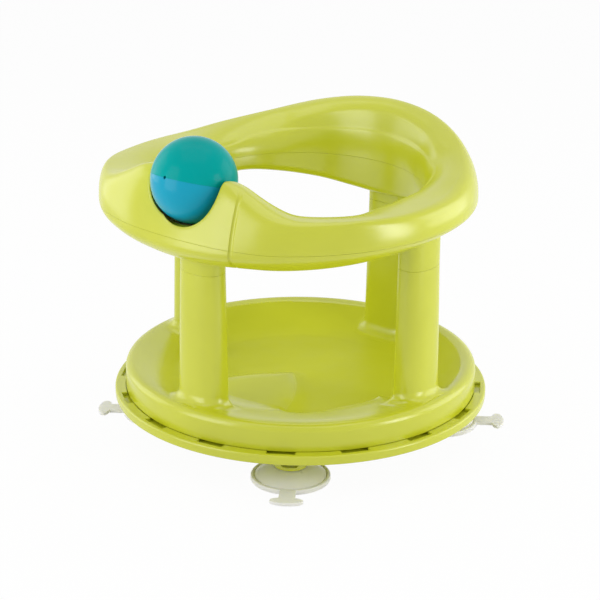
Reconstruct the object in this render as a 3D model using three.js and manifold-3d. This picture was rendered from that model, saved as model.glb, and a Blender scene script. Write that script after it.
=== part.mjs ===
import * as THREE from 'three';
import { ParametricGeometry } from 'three/addons/geometries/ParametricGeometry.js';
import { mergeVertices } from 'three/addons/utils/BufferGeometryUtils.js';
import Module from 'manifold-3d';

// Baby bath seat: a tray that swivels on a ring held down by four suction cups, with a trunk ring on
// four columns and a roller ball in the front of it. Millimetres, +Z up, the bath floor at z = 0, the
// swivel axis on Z. The front suction cup points to -Y. Left and right are as seen from the front.

const wasm = await Module();
wasm.setup();

// Fits between pieces
const touchGap = 0.3;
const runningGap = 0.6;
const overrun = 2;

// How the pieces stand at rest
const seatTurn = THREE.MathUtils.degToRad(-36.3);
const ballTurn = THREE.MathUtils.degToRad(-16);

// Trunk opening and seat tray
const openingRadius = 104.5;
const trayMargin = 50.8;
const trayWall = 2.6;
const trayDepth = 19.7;
const trayRimInset = 7.3;
const trayRimRounding = 6.4;
const trayFloorInset = 59.3;
const trayFloorRise = 3.3;
const trayLip = 6;
const trayLipThickness = 2.6;
const trayFrontRise = 7.3;
const trayRadius = openingRadius + trayMargin;
const trayRimRadius = trayRadius - trayRimInset;
const trayFloorRadius = trayRadius - trayFloorInset;

// Base ring
const flangeMargin = 9.7;
const flangeTop = 37.7;
const flangeDepth = 8.5;
const flangeRounding = 1.8;
const flangeWall = 2.6;
const baseWidth = 59;
const railInset = 12.3;
const railHeight = 3.6;
const slotCount = 16;
const slotLength = 23.5;
const slotWidth = 4.2;
const slotTurn = THREE.MathUtils.degToRad(-2.2);
const flangeRadius = trayRadius + flangeMargin;
const baseInnerRadius = flangeRadius - baseWidth;
const railRadius = trayRadius - railInset;
const trayFloorHeight = flangeTop + trayFloorRise;
const trayRimHeight = trayFloorHeight + trayDepth;

// Suction cups and the lugs that hold them
const cupCount = 4;
const cupInset = 29.6;
const cupRadius = 33.7;
const cupRimHeight = 4.2;
const cupRimWidth = 2.2;
const cupRimChamfer = 1.4;
const cupDome = 11.9;
const cupHollow = 5.2;
const cupShoulderRadius = 9.5;
const cupNeckRadius = 5.4;
const cupHeadRadius = 7.2;
const cupHeadHeight = 4.2;
const tabNeckWidth = 13.9;
const tabThickness = 3;
const tabReach = 51.3;
const tabHeadLength = 28;
const tabHeadWidth = 11.8;
const lugWidth = 28;
const lugFloor = 3;
const lugTail = 14;
const cupPitchRadius = trayRadius - cupInset;

// Columns, moulded with the tray
const columnCount = 4;
const columnMargin = 22.4;
const columnWidth = 40.5;
const columnFootWidth = 46;
const columnOuterDepth = 13.8;
const columnInnerDepth = 9.6;
const columnFootGrowth = 1.6;
const columnFillet = 9.5;
const columnPitchRadius = openingRadius + columnMargin;

// Trunk ring, with its rises measured from its lowest point
const ringWidth = 57.3;
const ringForward = 18;
const ringFlat = 11;
const ringLowest = 186;
const ringHeight = 84.5;
const partingRise = 27.6;
const partingLap = 3.9;
const partingMargin = 13.5;
const ringWall = 2.6;
const ringEdgeWidth = 7.5;
const ringFootRounding = 6;
const ringHold = 20;
const columnSeatRise = 17.5;
const collarDrop = 11;
const collarRise = 23.4;
const grooveAngle = THREE.MathUtils.degToRad(19.5);
const grooveLean = THREE.MathUtils.degToRad(2.6);
const pommelRise = 76;
const grooveWidth = 3.4;
const grooveDepth = 1;
const ringRadius = openingRadius + ringWidth;
const ringHighest = ringLowest + ringHeight;
const outerParting = ringLowest + partingRise;
const innerParting = outerParting + partingLap;
const partingRadius = openingRadius + partingMargin;
const columnSeat = ringLowest + columnSeatRise;
const collarBottom = ringLowest - collarDrop;
const collarTop = ringLowest + collarRise;
const pommelTop = ringLowest + pommelRise;

// Roller ball and its axle
const ballRadius = 35.7;
const ballWall = 2.4;
const ballMargin = 31.5;
const ballRise = 68;
const pocketClearance = 5.8;
const axleRadius = 2;
const axleReach = 46;
const axleBossRadius = 5;
const drainHoleRadius = 1.3;
const ballForward = openingRadius + ballMargin;
const ballHeight = ringLowest + ballRise;

// Self-tapping screws
const screwRadius = 1.6;
const screwHeadRadius = 3.4;
const screwHeadHeight = 2.2;
const columnScrewLength = 16;
const shellScrewLength = 16;
const screwBossRadius = 4.8;

// How finely round shapes are divided
const ringSteps = 48;
const cupSteps = 18;
const columnSteps = 20;
const ballSteps = 22;
const smallSteps = 8;

// Finishes
const limePlastic = () => new THREE.MeshStandardMaterial({ color: 0xc8ce35, roughness: 0.3, metalness: 0 });
const tealPlastic = () => new THREE.MeshStandardMaterial({ color: 0x00a8a3, roughness: 0.22, metalness: 0 });
const bluePlastic = () => new THREE.MeshStandardMaterial({ color: 0x2ba0c4, roughness: 0.22, metalness: 0 });
const clearRubber = () => new THREE.MeshStandardMaterial({ color: 0xd8d6cf, roughness: 0.4, metalness: 0 });
const steel = () => new THREE.MeshStandardMaterial({ color: 0xb4b6b8, roughness: 0.35, metalness: 1 });

// From three.js shapes to solids and back

function closedSurface(geometry) {
  const bare = geometry.index ? geometry.clone() : geometry;
  bare.deleteAttribute('normal');
  bare.deleteAttribute('uv');
  const merged = mergeVertices(bare, 1e-4);
  const index = merged.index.array;
  const kept = [];
  for (let i = 0; i < index.length; i += 3) {
    const [a, b, c] = [index[i], index[i + 1], index[i + 2]];
    if (a !== b && b !== c && c !== a) kept.push(a, b, c);
  }
  merged.setIndex(kept);
  return merged;
}

function signedVolume(geometry) {
  const position = geometry.attributes.position;
  const index = geometry.index.array;
  const corner = (i) => new THREE.Vector3().fromBufferAttribute(position, index[i]);
  let volume = 0;
  for (let i = 0; i < index.length; i += 3) volume += corner(i).dot(corner(i + 1).cross(corner(i + 2)));
  return volume;
}

function solid(geometry) {
  const surface = closedSurface(geometry);
  let triangles = Uint32Array.from(surface.index.array);
  if (signedVolume(surface) < 0) triangles = triangles.reverse();
  const vertices = Float32Array.from(surface.attributes.position.array);
  return new wasm.Manifold(new wasm.Mesh({ numProp: 3, vertProperties: vertices, triVerts: triangles }));
}

function geometryOf(body) {
  const mesh = body.getMesh();
  const geometry = new THREE.BufferGeometry();
  geometry.setAttribute('position', new THREE.BufferAttribute(mesh.vertProperties, mesh.numProp));
  geometry.setIndex(new THREE.BufferAttribute(mesh.triVerts, 1));
  geometry.computeVertexNormals();
  return geometry;
}

function joined(bodies) {
  return bodies.reduce((whole, body) => whole.add(body));
}

function cutBy(body, tools) {
  return tools.reduce((rest, tool) => rest.subtract(tool), body);
}

// A profile of [radius, height] points turned about Z
function turned(profile, steps) {
  const points = profile.map(([radius, height]) => new THREE.Vector2(radius, height));
  return solid(new THREE.LatheGeometry(points, steps).rotateX(Math.PI / 2));
}

// A flat band turned about Z, between two radii and two heights
function turnedBand(innerRadius, outerRadius, low, high, steps) {
  return turned(
    [[innerRadius, low], [outerRadius, low], [outerRadius, high], [innerRadius, high], [innerRadius, low]],
    steps,
  );
}

function box(low, high) {
  const size = new THREE.Vector3().subVectors(high, low);
  const middle = new THREE.Vector3().addVectors(high, low).multiplyScalar(0.5);
  return solid(new THREE.BoxGeometry(size.x, size.y, size.z).translate(middle.x, middle.y, middle.z));
}

// A round bar along Z, its foot at the given place
function bar(radius, low, high, x, y, steps = smallSteps) {
  const geometry = new THREE.CylinderGeometry(radius, radius, high - low, steps);
  return solid(geometry.rotateX(Math.PI / 2).translate(x, y, (low + high) / 2));
}

// A round bar along X, centred
function crossBar(radius, length, steps = smallSteps) {
  return solid(new THREE.CylinderGeometry(radius, radius, length, steps).rotateZ(Math.PI / 2));
}

// A closed surface from a formula: round tells how it closes, and caps fall in to a point
function formed(formula, across, along) {
  return solid(new ParametricGeometry(formula, across, along));
}

// Reads a table of rows [share, value, value, ...] at one share, with smooth and unwavering slopes
function readTable(table, share, column) {
  const last = table.length - 1;
  let i = 0;
  while (i < last - 1 && share > table[i + 1][0]) i += 1;
  const rise = (k) => (table[k + 1][column] - table[k][column]) / (table[k + 1][0] - table[k][0]);
  const slope = (k) => {
    if (k === 0 || k === last) return 0;
    const before = rise(k - 1);
    const after = rise(k);
    return before * after <= 0 ? 0 : (2 * before * after) / (before + after);
  };
  const step = table[i + 1][0] - table[i][0];
  const t = THREE.MathUtils.clamp((share - table[i][0]) / step, 0, 1);
  const start = table[i][column];
  const end = table[i + 1][column];
  const bend = t * t * (3 - 2 * t);
  return (
    start + (end - start) * bend +
    step * slope(i) * t * (1 - t) * (1 - t) -
    step * slope(i + 1) * t * t * (1 - t)
  );
}

function piece(name, body, material, place = new THREE.Matrix4()) {
  const mesh = new THREE.Mesh(geometryOf(body), material);
  mesh.name = name;
  mesh.applyMatrix4(place);
  return mesh;
}

const sides = ['front', 'right', 'back', 'left'];
const quarter = Math.PI / 2;
const aboutZ = (angle) => new THREE.Matrix4().makeRotationZ(angle);

// A solid turned about Z
function swung(body, angle) {
  return body.rotate([0, 0, THREE.MathUtils.radToDeg(angle)]);
}

// Base ring: a channel open to the inside, with slots in its top and a lug under it for each cup

const baseBottom = flangeTop - flangeDepth;
const baseFloor = baseBottom + flangeWall;
const channelRoof = flangeTop - flangeWall;
const channelMouth = trayRadius + runningGap;
const lugBottom = cupDome + touchGap;

function makeBaseRing() {
  const profile = [
    [baseInnerRadius, baseBottom],
    [flangeRadius - flangeRounding, baseBottom],
    [flangeRadius - 0.3 * flangeRounding, baseBottom + 0.3 * flangeRounding],
    [flangeRadius, baseBottom + flangeRounding],
    [flangeRadius, flangeTop - flangeRounding],
    [flangeRadius - 0.3 * flangeRounding, flangeTop - 0.3 * flangeRounding],
    [flangeRadius - flangeRounding, flangeTop],
    [channelMouth, flangeTop],
    [channelMouth, channelRoof],
    [flangeRadius - flangeWall, channelRoof],
    [flangeRadius - flangeWall, baseFloor],
    [railRadius + flangeWall / 2, baseFloor],
    [railRadius + flangeWall / 2, baseFloor + railHeight],
    [railRadius - flangeWall / 2, baseFloor + railHeight],
    [railRadius - flangeWall / 2, baseFloor],
    [baseInnerRadius + flangeWall, baseFloor],
    [baseInnerRadius + flangeWall, baseFloor + railHeight],
    [baseInnerRadius, baseFloor + railHeight],
    [baseInnerRadius, baseBottom],
  ];
  const ring = turned(profile, ringSteps);

  const slots = [];
  for (let i = 0; i < slotCount; i += 1) {
    const slot = box(
      new THREE.Vector3(-slotLength / 2, -channelMouth - slotWidth, (channelRoof + baseFloor) / 2),
      new THREE.Vector3(slotLength / 2, -channelMouth + overrun, flangeTop + overrun),
    );
    slots.push(swung(slot, slotTurn + (i * 2 * Math.PI) / slotCount));
  }

  const lugs = [];
  for (let i = 0; i < cupCount; i += 1) lugs.push(swung(makeLug(), i * quarter));
  return cutBy(joined([ring, ...lugs]), slots);
}

// A lug: a half-round block with a keyhole, open outwards, that the cup's head slides into
function makeLug() {
  const half = lugWidth / 2;
  const outline = new THREE.Shape();
  outline.moveTo(half, lugTail);
  outline.lineTo(-half, lugTail);
  outline.lineTo(-half, 0);
  outline.absarc(0, 0, half, Math.PI, 2 * Math.PI, false);
  outline.closePath();
  const block = new THREE.ExtrudeGeometry(outline, {
    depth: baseBottom + flangeWall / 2 - lugBottom,
    bevelEnabled: false,
    curveSegments: smallSteps,
  });
  const cavityHeight = cupHeadHeight + 3 * touchGap;
  const cavityBottom = lugBottom + lugFloor;
  const neckSlot = slotFor(cupNeckRadius + runningGap, lugBottom - overrun, cavityBottom + touchGap);
  const headSlot = slotFor(cupHeadRadius + runningGap, cavityBottom, cavityBottom + cavityHeight);
  const lug = cutBy(solid(block.translate(0, 0, lugBottom)), [neckSlot, headSlot]);
  return lug.translate([0, -cupPitchRadius, 0]);
}

// A slot with a round inner end, open towards -Y
function slotFor(radius, low, high) {
  const run = box(new THREE.Vector3(-radius, -lugWidth, low), new THREE.Vector3(radius, 0, high));
  return run.add(bar(radius, low, high, 0, 0, cupSteps));
}

// Suction cups: a soft disc hollow underneath, a headed neck above and a pull tab

function makeCup() {
  const neckTop = lugBottom + lugFloor + touchGap;
  const headTop = neckTop + cupHeadHeight;
  const topRadius = cupRadius - cupRimChamfer;
  const profile = [
    [0, cupHollow],
    [0.45 * cupRadius, 0.8 * cupHollow],
    [0.8 * cupRadius, 0.3 * cupHollow],
    [cupRadius - cupRimWidth, 0],
    [cupRadius, 0],
    [cupRadius, cupRimHeight / 2],
    [topRadius, cupRimHeight],
    [0.62 * cupRadius, 0.6 * cupDome],
    [cupShoulderRadius, cupDome],
    [cupNeckRadius, cupDome],
    [cupNeckRadius, neckTop],
    [cupHeadRadius, neckTop],
    [cupHeadRadius, headTop - cupRimChamfer],
    [cupHeadRadius - cupRimChamfer, headTop],
    [0, headTop],
  ];
  const disc = turned(profile, cupSteps);
  return joined([disc, ...makeTab()]);
}

function makeTab() {
  const low = cupRimHeight - tabThickness;
  const start = cupRadius - cupRimWidth * 0.8;
  const neck = box(
    new THREE.Vector3(-tabNeckWidth / 2, -tabReach, low),
    new THREE.Vector3(tabNeckWidth / 2, -start, low + tabThickness),
  );
  const outline = new THREE.Shape();
  outline.absellipse(0, -tabReach, tabHeadLength / 2, tabHeadWidth / 2, 0, 2 * Math.PI, false, 0);
  const head = new THREE.ExtrudeGeometry(outline, {
    depth: tabThickness,
    bevelEnabled: false,
    curveSegments: smallSteps,
  });
  return [neck, solid(head.translate(0, 0, low))];
}

// Seat tray: a dish with a rounded rim, a raised front shaped to the thighs and four hollow columns

// The dish's upper face, as shares of the way from the floor's edge to the rim and of its rise
const dishSlopeShares = [
  [0, 0],
  [0.25, 0.11],
  [0.55, 0.42],
  [0.8, 0.78],
  [1, 1],
];

function dishHeight(radius) {
  const share = (radius - trayFloorRadius) / (trayRimRadius - trayFloorRadius);
  const rise = trayRimHeight - trayFloorHeight;
  return trayFloorHeight + rise * readTable(dishSlopeShares, THREE.MathUtils.clamp(share, 0, 1), 1);
}

function dishProfile(inset) {
  const slope = dishSlopeShares.map(([across]) => {
    const radius = trayFloorRadius + across * (trayRimRadius - trayFloorRadius);
    return [radius, dishHeight(radius) - inset];
  });
  const rounding = [0.45, 0.85, 1].map((share) => {
    const drop = trayRimRounding * (1 - Math.sqrt(1 - share * share));
    return [trayRimRadius + share * (trayRadius - trayRimRadius - inset), trayRimHeight - inset - drop];
  });
  return [[0, trayFloorHeight - inset], ...slope, ...rounding];
}

// The raised front's upper face, in the same shares
const frontSlopeShares = [
  [0, 0],
  [0.2, 0.13],
  [0.45, 0.43],
  [0.75, 0.82],
  [1, 1],
];

function frontHeight(radius) {
  const share = (radius - trayFloorRadius) / (trayRimRadius - trayFloorRadius);
  const low = trayFloorHeight + trayFrontRise;
  return low + (trayRimHeight - low) * readTable(frontSlopeShares, THREE.MathUtils.clamp(share, 0, 1), 1);
}

const trayBottom = baseFloor + touchGap;
const pilotDepth = columnScrewLength - trayWall;

// A round bar on the middle line of the front column
function columnBar(radius, low, high) {
  return bar(radius, low, high, 0, -columnPitchRadius);
}

function makeTray() {
  const lipTop = trayBottom + trayLipThickness;
  const outside = turned(
    [
      ...dishProfile(0),
      [trayRadius, lipTop],
      [trayRadius + trayLip, lipTop],
      [trayRadius + trayLip, trayBottom],
      [0, trayBottom],
    ],
    ringSteps,
  );
  const inside = turned(
    [...dishProfile(trayWall), [trayRadius - trayWall, trayBottom - overrun], [0, trayBottom - overrun]],
    ringSteps,
  );
  const guideRadius = railRadius + flangeWall / 2 + runningGap;
  const guide = turnedBand(
    guideRadius,
    guideRadius + trayWall,
    trayBottom,
    dishHeight(guideRadius) - trayWall / 2,
    ringSteps,
  );

  const skins = [];
  const hollows = [];
  const bosses = [];
  const pilots = [];
  for (let i = 0; i < columnCount; i += 1) {
    const stand = (body) => swung(body, i * quarter);
    const ground = i === 0 ? frontHeight : dishHeight;
    skins.push(stand(makeColumn(0, columnTop, ground)));
    hollows.push(stand(makeColumn(trayWall, columnTop - trayWall, ground)));
    bosses.push(stand(columnBar(screwBossRadius, columnTop - columnScrewLength, columnTop - trayWall / 2)));
    pilots.push(stand(columnBar(screwRadius + touchGap, columnTop - pilotDepth, columnTop + overrun)));
  }
  const shell = cutBy(joined([outside, makeRaisedFront(), ...skins]), [inside, ...hollows]);
  return cutBy(joined([shell, guide, ...bosses]), pilots);
}

// The hollow in the raised front, open to the back: its right half from the notch between the thighs,
// as shares of the dish floor's radius
const thighNotchShare = 0.137;
const thighHollowShares = [
  [0.207, -0.336],
  [0.38, -0.589],
  [0.44, -0.74],
  [0.5, -0.85],
  [0.56, -0.87],
  [0.654, -0.833],
  [0.75, -0.738],
  [0.815, -0.56],
  [0.9, -0.37],
  [0.965, -0.2],
  [0.975, -0.1],
  [0.953, -0.018],
  [1.7, 0.03],
  [1.7, 1.7],
];

function makeRaisedFront() {
  const reach = trayRimRadius - trayFloorRadius;
  const slope = frontSlopeShares.map(([across]) => trayFloorRadius + across * reach);
  const body = turned(
    [
      [0, frontHeight(0)],
      ...slope.map((radius) => [radius, frontHeight(radius)]),
      ...[...slope].reverse().map((radius) => [radius, dishHeight(radius) - trayWall / 2]),
      [0, trayFloorHeight - trayWall / 2],
    ],
    ringSteps,
  );
  const outline = new THREE.Shape();
  outline.moveTo(0, -thighNotchShare * trayFloorRadius);
  const leftShares = [...thighHollowShares].reverse().map(([x, y]) => [-x, y]);
  for (const [x, y] of [...thighHollowShares, ...leftShares]) {
    outline.lineTo(x * trayFloorRadius, y * trayFloorRadius);
  }
  outline.closePath();
  const depth = trayRimHeight - trayFloorHeight + trayWall + overrun;
  const hollow = new THREE.ExtrudeGeometry(outline, { depth, bevelEnabled: false });
  return cutBy(body, [solid(hollow.translate(0, 0, trayFloorHeight - trayWall))]);
}

// A column's D section: a rounded outer face, a flat inner face with small corners
function columnOutline(turn, halfWidth, outerDepth, innerDepth) {
  const across = Math.cos(turn);
  const out = Math.sin(turn);
  const roundness = out >= 0 ? 2.4 : 4.5;
  const depth = out >= 0 ? outerDepth : innerDepth;
  const power = 2 / roundness;
  return new THREE.Vector2(
    halfWidth * Math.sign(across) * Math.abs(across) ** power,
    depth * Math.sign(out) * Math.abs(out) ** power,
  );
}

// Heights in the fillet at a column's foot, as shares of the fillet's size
const filletShares = [-0.2, 0.1, 0.43, 1];

const columnTop = columnSeat - touchGap;
const columnShoulder = collarBottom - touchGap;

function makeColumn(inset, top, ground) {
  const spigotInset = trayWall + touchGap;
  const shoulder = columnShoulder - 1.2 * inset;
  const rings = filletShares.map((share) => ({ rise: share * columnFillet, spigot: 0 }));
  rings.push({ level: shoulder, spigot: 0 }, { level: shoulder, spigot: spigotInset });
  rings.push({ level: top, spigot: spigotInset });
  if (inset > 0) rings[0].rise -= trayRimHeight - trayBottom;
  const last = rings.length + 1;

  const formula = (u, v, target) => {
    const step = Math.round(v * last);
    const capped = step === 0 || step === last;
    const ring = rings[THREE.MathUtils.clamp(step - 1, 0, rings.length - 1)];
    const rise = Math.max(ring.rise ?? columnShoulder, 0);
    const fillet = Math.max(columnFillet - rise, 0);
    const flare = columnFillet - Math.sqrt(columnFillet ** 2 - fillet ** 2);
    const taper = ring.rise === undefined ? 0 : 1 - rise / (columnShoulder - ground(columnPitchRadius));
    const shift = flare - inset - ring.spigot;
    const point = columnOutline(
      u * 2 * Math.PI,
      columnWidth / 2 + (taper * (columnFootWidth - columnWidth)) / 2 + shift,
      columnOuterDepth + taper * columnFootGrowth + shift,
      columnInnerDepth + shift,
    ).multiplyScalar(capped ? 0 : 1);
    const radius = Math.min(columnPitchRadius + point.y, trayRimRadius);
    target.set(point.x, -radius, ring.level ?? ground(radius) + ring.rise);
  };
  return formed(formula, columnSteps, last);
}

// Trunk ring: one closed tube of changing section, parted into two hollow shells

// By share of the half turn from the front: the crest's place across the ring's width, the heights of
// the crest, the inner edge, the belly and the underside, and how far the outer face is flattened
const ringShares = [
  [0, 0.566, 0.899, 0.592, 0.26, 0.041, 1],
  [0.05, 0.59, 0.899, 0.592, 0.26, 0.047, 0.9],
  [0.094, 0.63, 0.899, 0.592, 0.27, 0.065, 0.6],
  [0.139, 0.696, 0.793, 0.509, 0.296, 0.077, 0.36],
  [0.172, 0.73, 0.704, 0.462, 0.331, 0.08, 0.05],
  [0.211, 0.86, 0.633, 0.426, 0.355, 0.086, 0],
  [0.3, 0.91, 0.621, 0.414, 0.367, 0.116, 0],
  [0.406, 0.84, 0.597, 0.497, 0.367, 0.172, 0],
  [0.511, 0.744, 0.604, 0.538, 0.367, 0.207, 0],
  [0.611, 0.689, 0.669, 0.556, 0.367, 0.207, 0],
  [0.717, 0.68, 0.769, 0.598, 0.367, 0.16, 0],
  [0.767, 0.665, 0.834, 0.704, 0.367, 0.13, 0],
  [0.833, 0.635, 0.911, 0.769, 0.367, 0.089, 0],
  [0.917, 0.6, 0.976, 0.84, 0.367, 0.03, 0],
  [1, 0.572, 1, 0.864, 0.367, 0, 0],
];

function ringSizes(angle) {
  const share = Math.abs(angle) / Math.PI;
  const across = ringForward * Math.sin(angle);
  const round = ringForward * Math.cos(angle) + Math.sqrt(ringRadius ** 2 - across ** 2);
  const flatness = readTable(ringShares, share, 6);
  const outer = round - ringFlat * flatness;
  const width = outer - openingRadius;
  const height = (column) => ringLowest + (ringHighest - ringLowest) * readTable(ringShares, share, column);
  return {
    outer,
    width,
    crest: openingRadius + width * readTable(ringShares, share, 1),
    top: height(2),
    edge: height(3),
    belly: height(4),
    bottom: height(5),
    lean: 0.15 * flatness,
  };
}

// The section's curves, in order round it, and how many steps each gets
const sectionSteps = [4, 3, 1, 1, 2, 3];
const sectionStepCount = sectionSteps.reduce((sum, steps) => sum + steps);

function ringSection(angle) {
  const { outer, width, crest, top, edge, belly, bottom, lean } = ringSizes(angle);
  const point = (x, y) => new THREE.Vector2(x, y);
  const peak = point(crest, top);
  const side = point(outer, belly);
  const held = Math.min(ringHold, 0.75 * (top - belly));
  const overSide = point(outer - 0.5 * lean * (outer - crest), belly + held);
  const underSide = side.clone().lerp(overSide, (-0.45 * (belly - bottom)) / held);
  const under = point(outer - 0.4 * width, bottom);
  const foot = point(openingRadius + ringFootRounding, bottom);
  const wall = point(openingRadius, bottom + 1.3 * ringFootRounding);
  const brow = point(openingRadius + ringEdgeWidth, edge);
  const slope = peak.clone().sub(wall).normalize();
  return [
    new THREE.CubicBezierCurve(peak, point(crest + (0.6 - 2 * lean) * (outer - crest), top), overSide, side),
    new THREE.CubicBezierCurve(side, underSide, point(outer - 0.24 * width, bottom), under),
    new THREE.LineCurve(under, foot),
    new THREE.CubicBezierCurve(
      foot,
      point(openingRadius + 0.4 * ringFootRounding, bottom),
      point(openingRadius, bottom + 0.5 * ringFootRounding),
      wall,
    ),
    new THREE.CubicBezierCurve(
      wall,
      point(openingRadius, (wall.y + edge) / 2),
      brow.clone().addScaledVector(slope, -0.3 * brow.distanceTo(wall)),
      brow,
    ),
    new THREE.CubicBezierCurve(
      brow,
      brow.clone().addScaledVector(slope, 0.35 * brow.distanceTo(peak)),
      point(crest - 0.4 * (crest - brow.x), top),
      peak,
    ),
  ];
}

// Where the tube is divided along its length: evenly, and closer at the groove
function ringAngles() {
  const half = grooveWidth / 2 / (ringRadius + ringForward);
  const angles = [];
  for (let i = 0; i < ringSteps; i += 1) {
    const angle = -Math.PI + (i * 2 * Math.PI) / ringSteps;
    if (Math.abs(angle - grooveAngle) > 1.5 * half) angles.push(angle);
  }
  for (const offset of [-half, 0, half]) angles.push(grooveAngle + offset);
  return angles.sort((a, b) => a - b);
}

function grooveAt(angle) {
  const away = Math.abs(angle - grooveAngle) * (ringRadius + ringForward);
  return grooveDepth * Math.max(0, 1 - away / (grooveWidth / 2));
}

// How far the tube's divisions are slanted to follow the groove, at one angle and height
function grooveSlant(angle, height) {
  const near = Math.max(0, 1 - Math.abs(angle - grooveAngle) / (1.5 * grooveAngle));
  return (grooveLean * near * (height - outerParting)) / (pommelTop - outerParting);
}

function makeRingTube(inset) {
  const angles = ringAngles();
  const sections = angles.map((angle) => ringSection(angle));
  const formula = (u, v, target) => {
    const k = Math.round(u * angles.length) % angles.length;
    const angle = angles[k];
    let step = Math.round(v * sectionStepCount) % sectionStepCount;
    let curve = 0;
    while (step >= sectionSteps[curve]) {
      step -= sectionSteps[curve];
      curve += 1;
    }
    const t = step / sectionSteps[curve];
    const point = sections[k][curve].getPoint(t);
    const tangent = sections[k][curve].getTangent(t);
    const deep = curve === 0 ? Math.min(1, 2 * t) : Number(curve === 1);
    const shift = inset + (inset > 0 ? 0 : deep * grooveAt(angle));
    const radius = point.x + tangent.y * shift;
    const height = point.y - tangent.x * shift;
    const turn = angle + grooveSlant(angle, height);
    target.set(radius * Math.sin(turn), -radius * Math.cos(turn), height);
  };
  return formed(formula, angles.length, sectionStepCount);
}

const ballPlace = new THREE.Vector3(0, -ballForward, ballHeight);

function ballSolid(radius) {
  const sphere = new THREE.SphereGeometry(radius, ballSteps, ballSteps / 2).rotateX(Math.PI / 2);
  return solid(sphere);
}

function atBall(body) {
  return body.translate([ballPlace.x, ballPlace.y, ballPlace.z]);
}

// Places for the screws that hold the shells together, as shares of a turn and of the ring's width
const shellScrewShares = [
  [0.115, 0.55],
  [0.18, 0.5],
  [0.33, 0.5],
  [0.41, 0.55],
];

function shellScrewPlaces() {
  const places = [];
  for (const side of [-1, 1]) {
    for (const [turn, across] of shellScrewShares) {
      const angle = side * turn * 2 * Math.PI;
      const radius = openingRadius + across * ringSizes(angle).width;
      places.push(new THREE.Vector2(radius * Math.sin(angle), -radius * Math.cos(angle)));
    }
  }
  return places;
}

const screwSeat = columnSeat + ringWall + screwHeadHeight + touchGap;
const ringFloor = columnSeat + ringWall;

// Everything above the parting, which lies higher on the inside of the ring
function overParting(gap) {
  const reach = ringRadius + ringForward + overrun;
  const high = ringHighest + overrun;
  const all = box(
    new THREE.Vector3(-reach, -reach, outerParting + gap),
    new THREE.Vector3(reach, reach, high),
  );
  return all.subtract(turnedBand(0, partingRadius, ringLowest, innerParting + gap, ringSteps));
}

function makeRingShells() {
  const skin = makeRingTube(0);
  const hollow = makeRingTube(ringWall);
  const pocket = atBall(ballSolid(ballRadius + pocketClearance));
  const pocketWall = atBall(ballSolid(ballRadius + pocketClearance + ringWall));
  const places = shellScrewPlaces();
  const half = touchGap / 2;

  const axleBoss = atBall(crossBar(axleBossRadius, 2 * (axleReach + ringWall)));
  const axleHole = atBall(crossBar(axleRadius + touchGap, 2 * (axleReach + touchGap)));
  const posts = places.map((place) =>
    bar(screwBossRadius, outerParting + half, ringHighest, place.x, place.y),
  );
  const pilots = places.map((place) =>
    bar(screwRadius + touchGap, ringLowest, screwSeat + shellScrewLength + touchGap, place.x, place.y),
  );
  const upperFill = joined([pocketWall, axleBoss, ...posts]).intersect(skin);
  const upperShell = skin.subtract(hollow).intersect(overParting(half));
  const upper = cutBy(upperShell.add(upperFill), [pocket, axleHole, ...pilots]);

  const wells = places.map((place) =>
    bar(screwHeadRadius + ringWall, ringLowest, outerParting - half, place.x, place.y),
  );
  const wellBores = places.map((place) =>
    bar(screwHeadRadius + runningGap, ringLowest - overrun, screwSeat, place.x, place.y),
  );
  const collars = [];
  const sockets = [];
  const screwHoles = [];
  for (let i = 0; i < columnCount; i += 1) {
    const stand = (body) => swung(body, i * quarter);
    collars.push(stand(makeCollar(0, collarBottom, collarTop)));
    sockets.push(stand(makeCollar(trayWall, collarBottom - overrun, columnSeat)));
    sockets.push(stand(makeCollar(trayWall, ringFloor, collarTop + overrun)));
    screwHoles.push(stand(columnBar(screwRadius + touchGap, columnSeat - overrun, ringFloor + overrun)));
  }
  const shell = skin.subtract(hollow).subtract(overParting(-half));
  const filled = joined([shell, joined(wells).intersect(skin), ...collars]);
  const lower = cutBy(filled, [...sockets, ...screwHoles, ...wellBores, ...pilots]);
  return { upper, lower };
}

// A collar under the ring that carries on a column's outline
function makeCollar(inset, low, high) {
  const levels = [low, low, high, high];
  const formula = (u, v, target) => {
    const level = Math.round(v * 3);
    const capped = level === 0 || level === 3;
    const point = columnOutline(
      u * 2 * Math.PI,
      columnWidth / 2 - inset,
      columnOuterDepth - inset,
      columnInnerDepth - inset,
    ).multiplyScalar(capped ? 0 : 1);
    target.set(point.x, -columnPitchRadius - point.y, levels[level]);
  };
  return formed(formula, columnSteps, 3);
}

// Roller ball: two half shells on a fixed axle, with a rib each side that rides on it

function makeBallHalf(side) {
  const half = touchGap / 2;
  const reach = ballRadius + overrun;
  const keep = box(
    new THREE.Vector3(-reach, -reach, half),
    new THREE.Vector3(reach, reach, reach),
  );
  const outside = ballSolid(ballRadius);
  const inside = ballSolid(ballRadius - ballWall);
  const ribs = [-1, 1].map((end) =>
    box(
      new THREE.Vector3((end * ballRadius) / 2 - ballWall / 2, -axleBossRadius, -reach),
      new THREE.Vector3((end * ballRadius) / 2 + ballWall / 2, axleBossRadius, reach),
    ),
  );
  const axleHole = crossBar(axleRadius + touchGap, 3 * ballRadius);
  const drain = new THREE.CylinderGeometry(drainHoleRadius, drainHoleRadius, ballRadius, smallSteps);
  const drainHole = solid(drain.translate(0, -ballRadius, 0));
  const shell = outside.subtract(inside).add(joined(ribs).intersect(outside));
  const whole = cutBy(shell.intersect(keep), [axleHole, drainHole]);
  return side > 0 ? whole : whole.mirror([0, 0, 1]);
}

// Screws, pointing down from a head at z = 0

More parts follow.
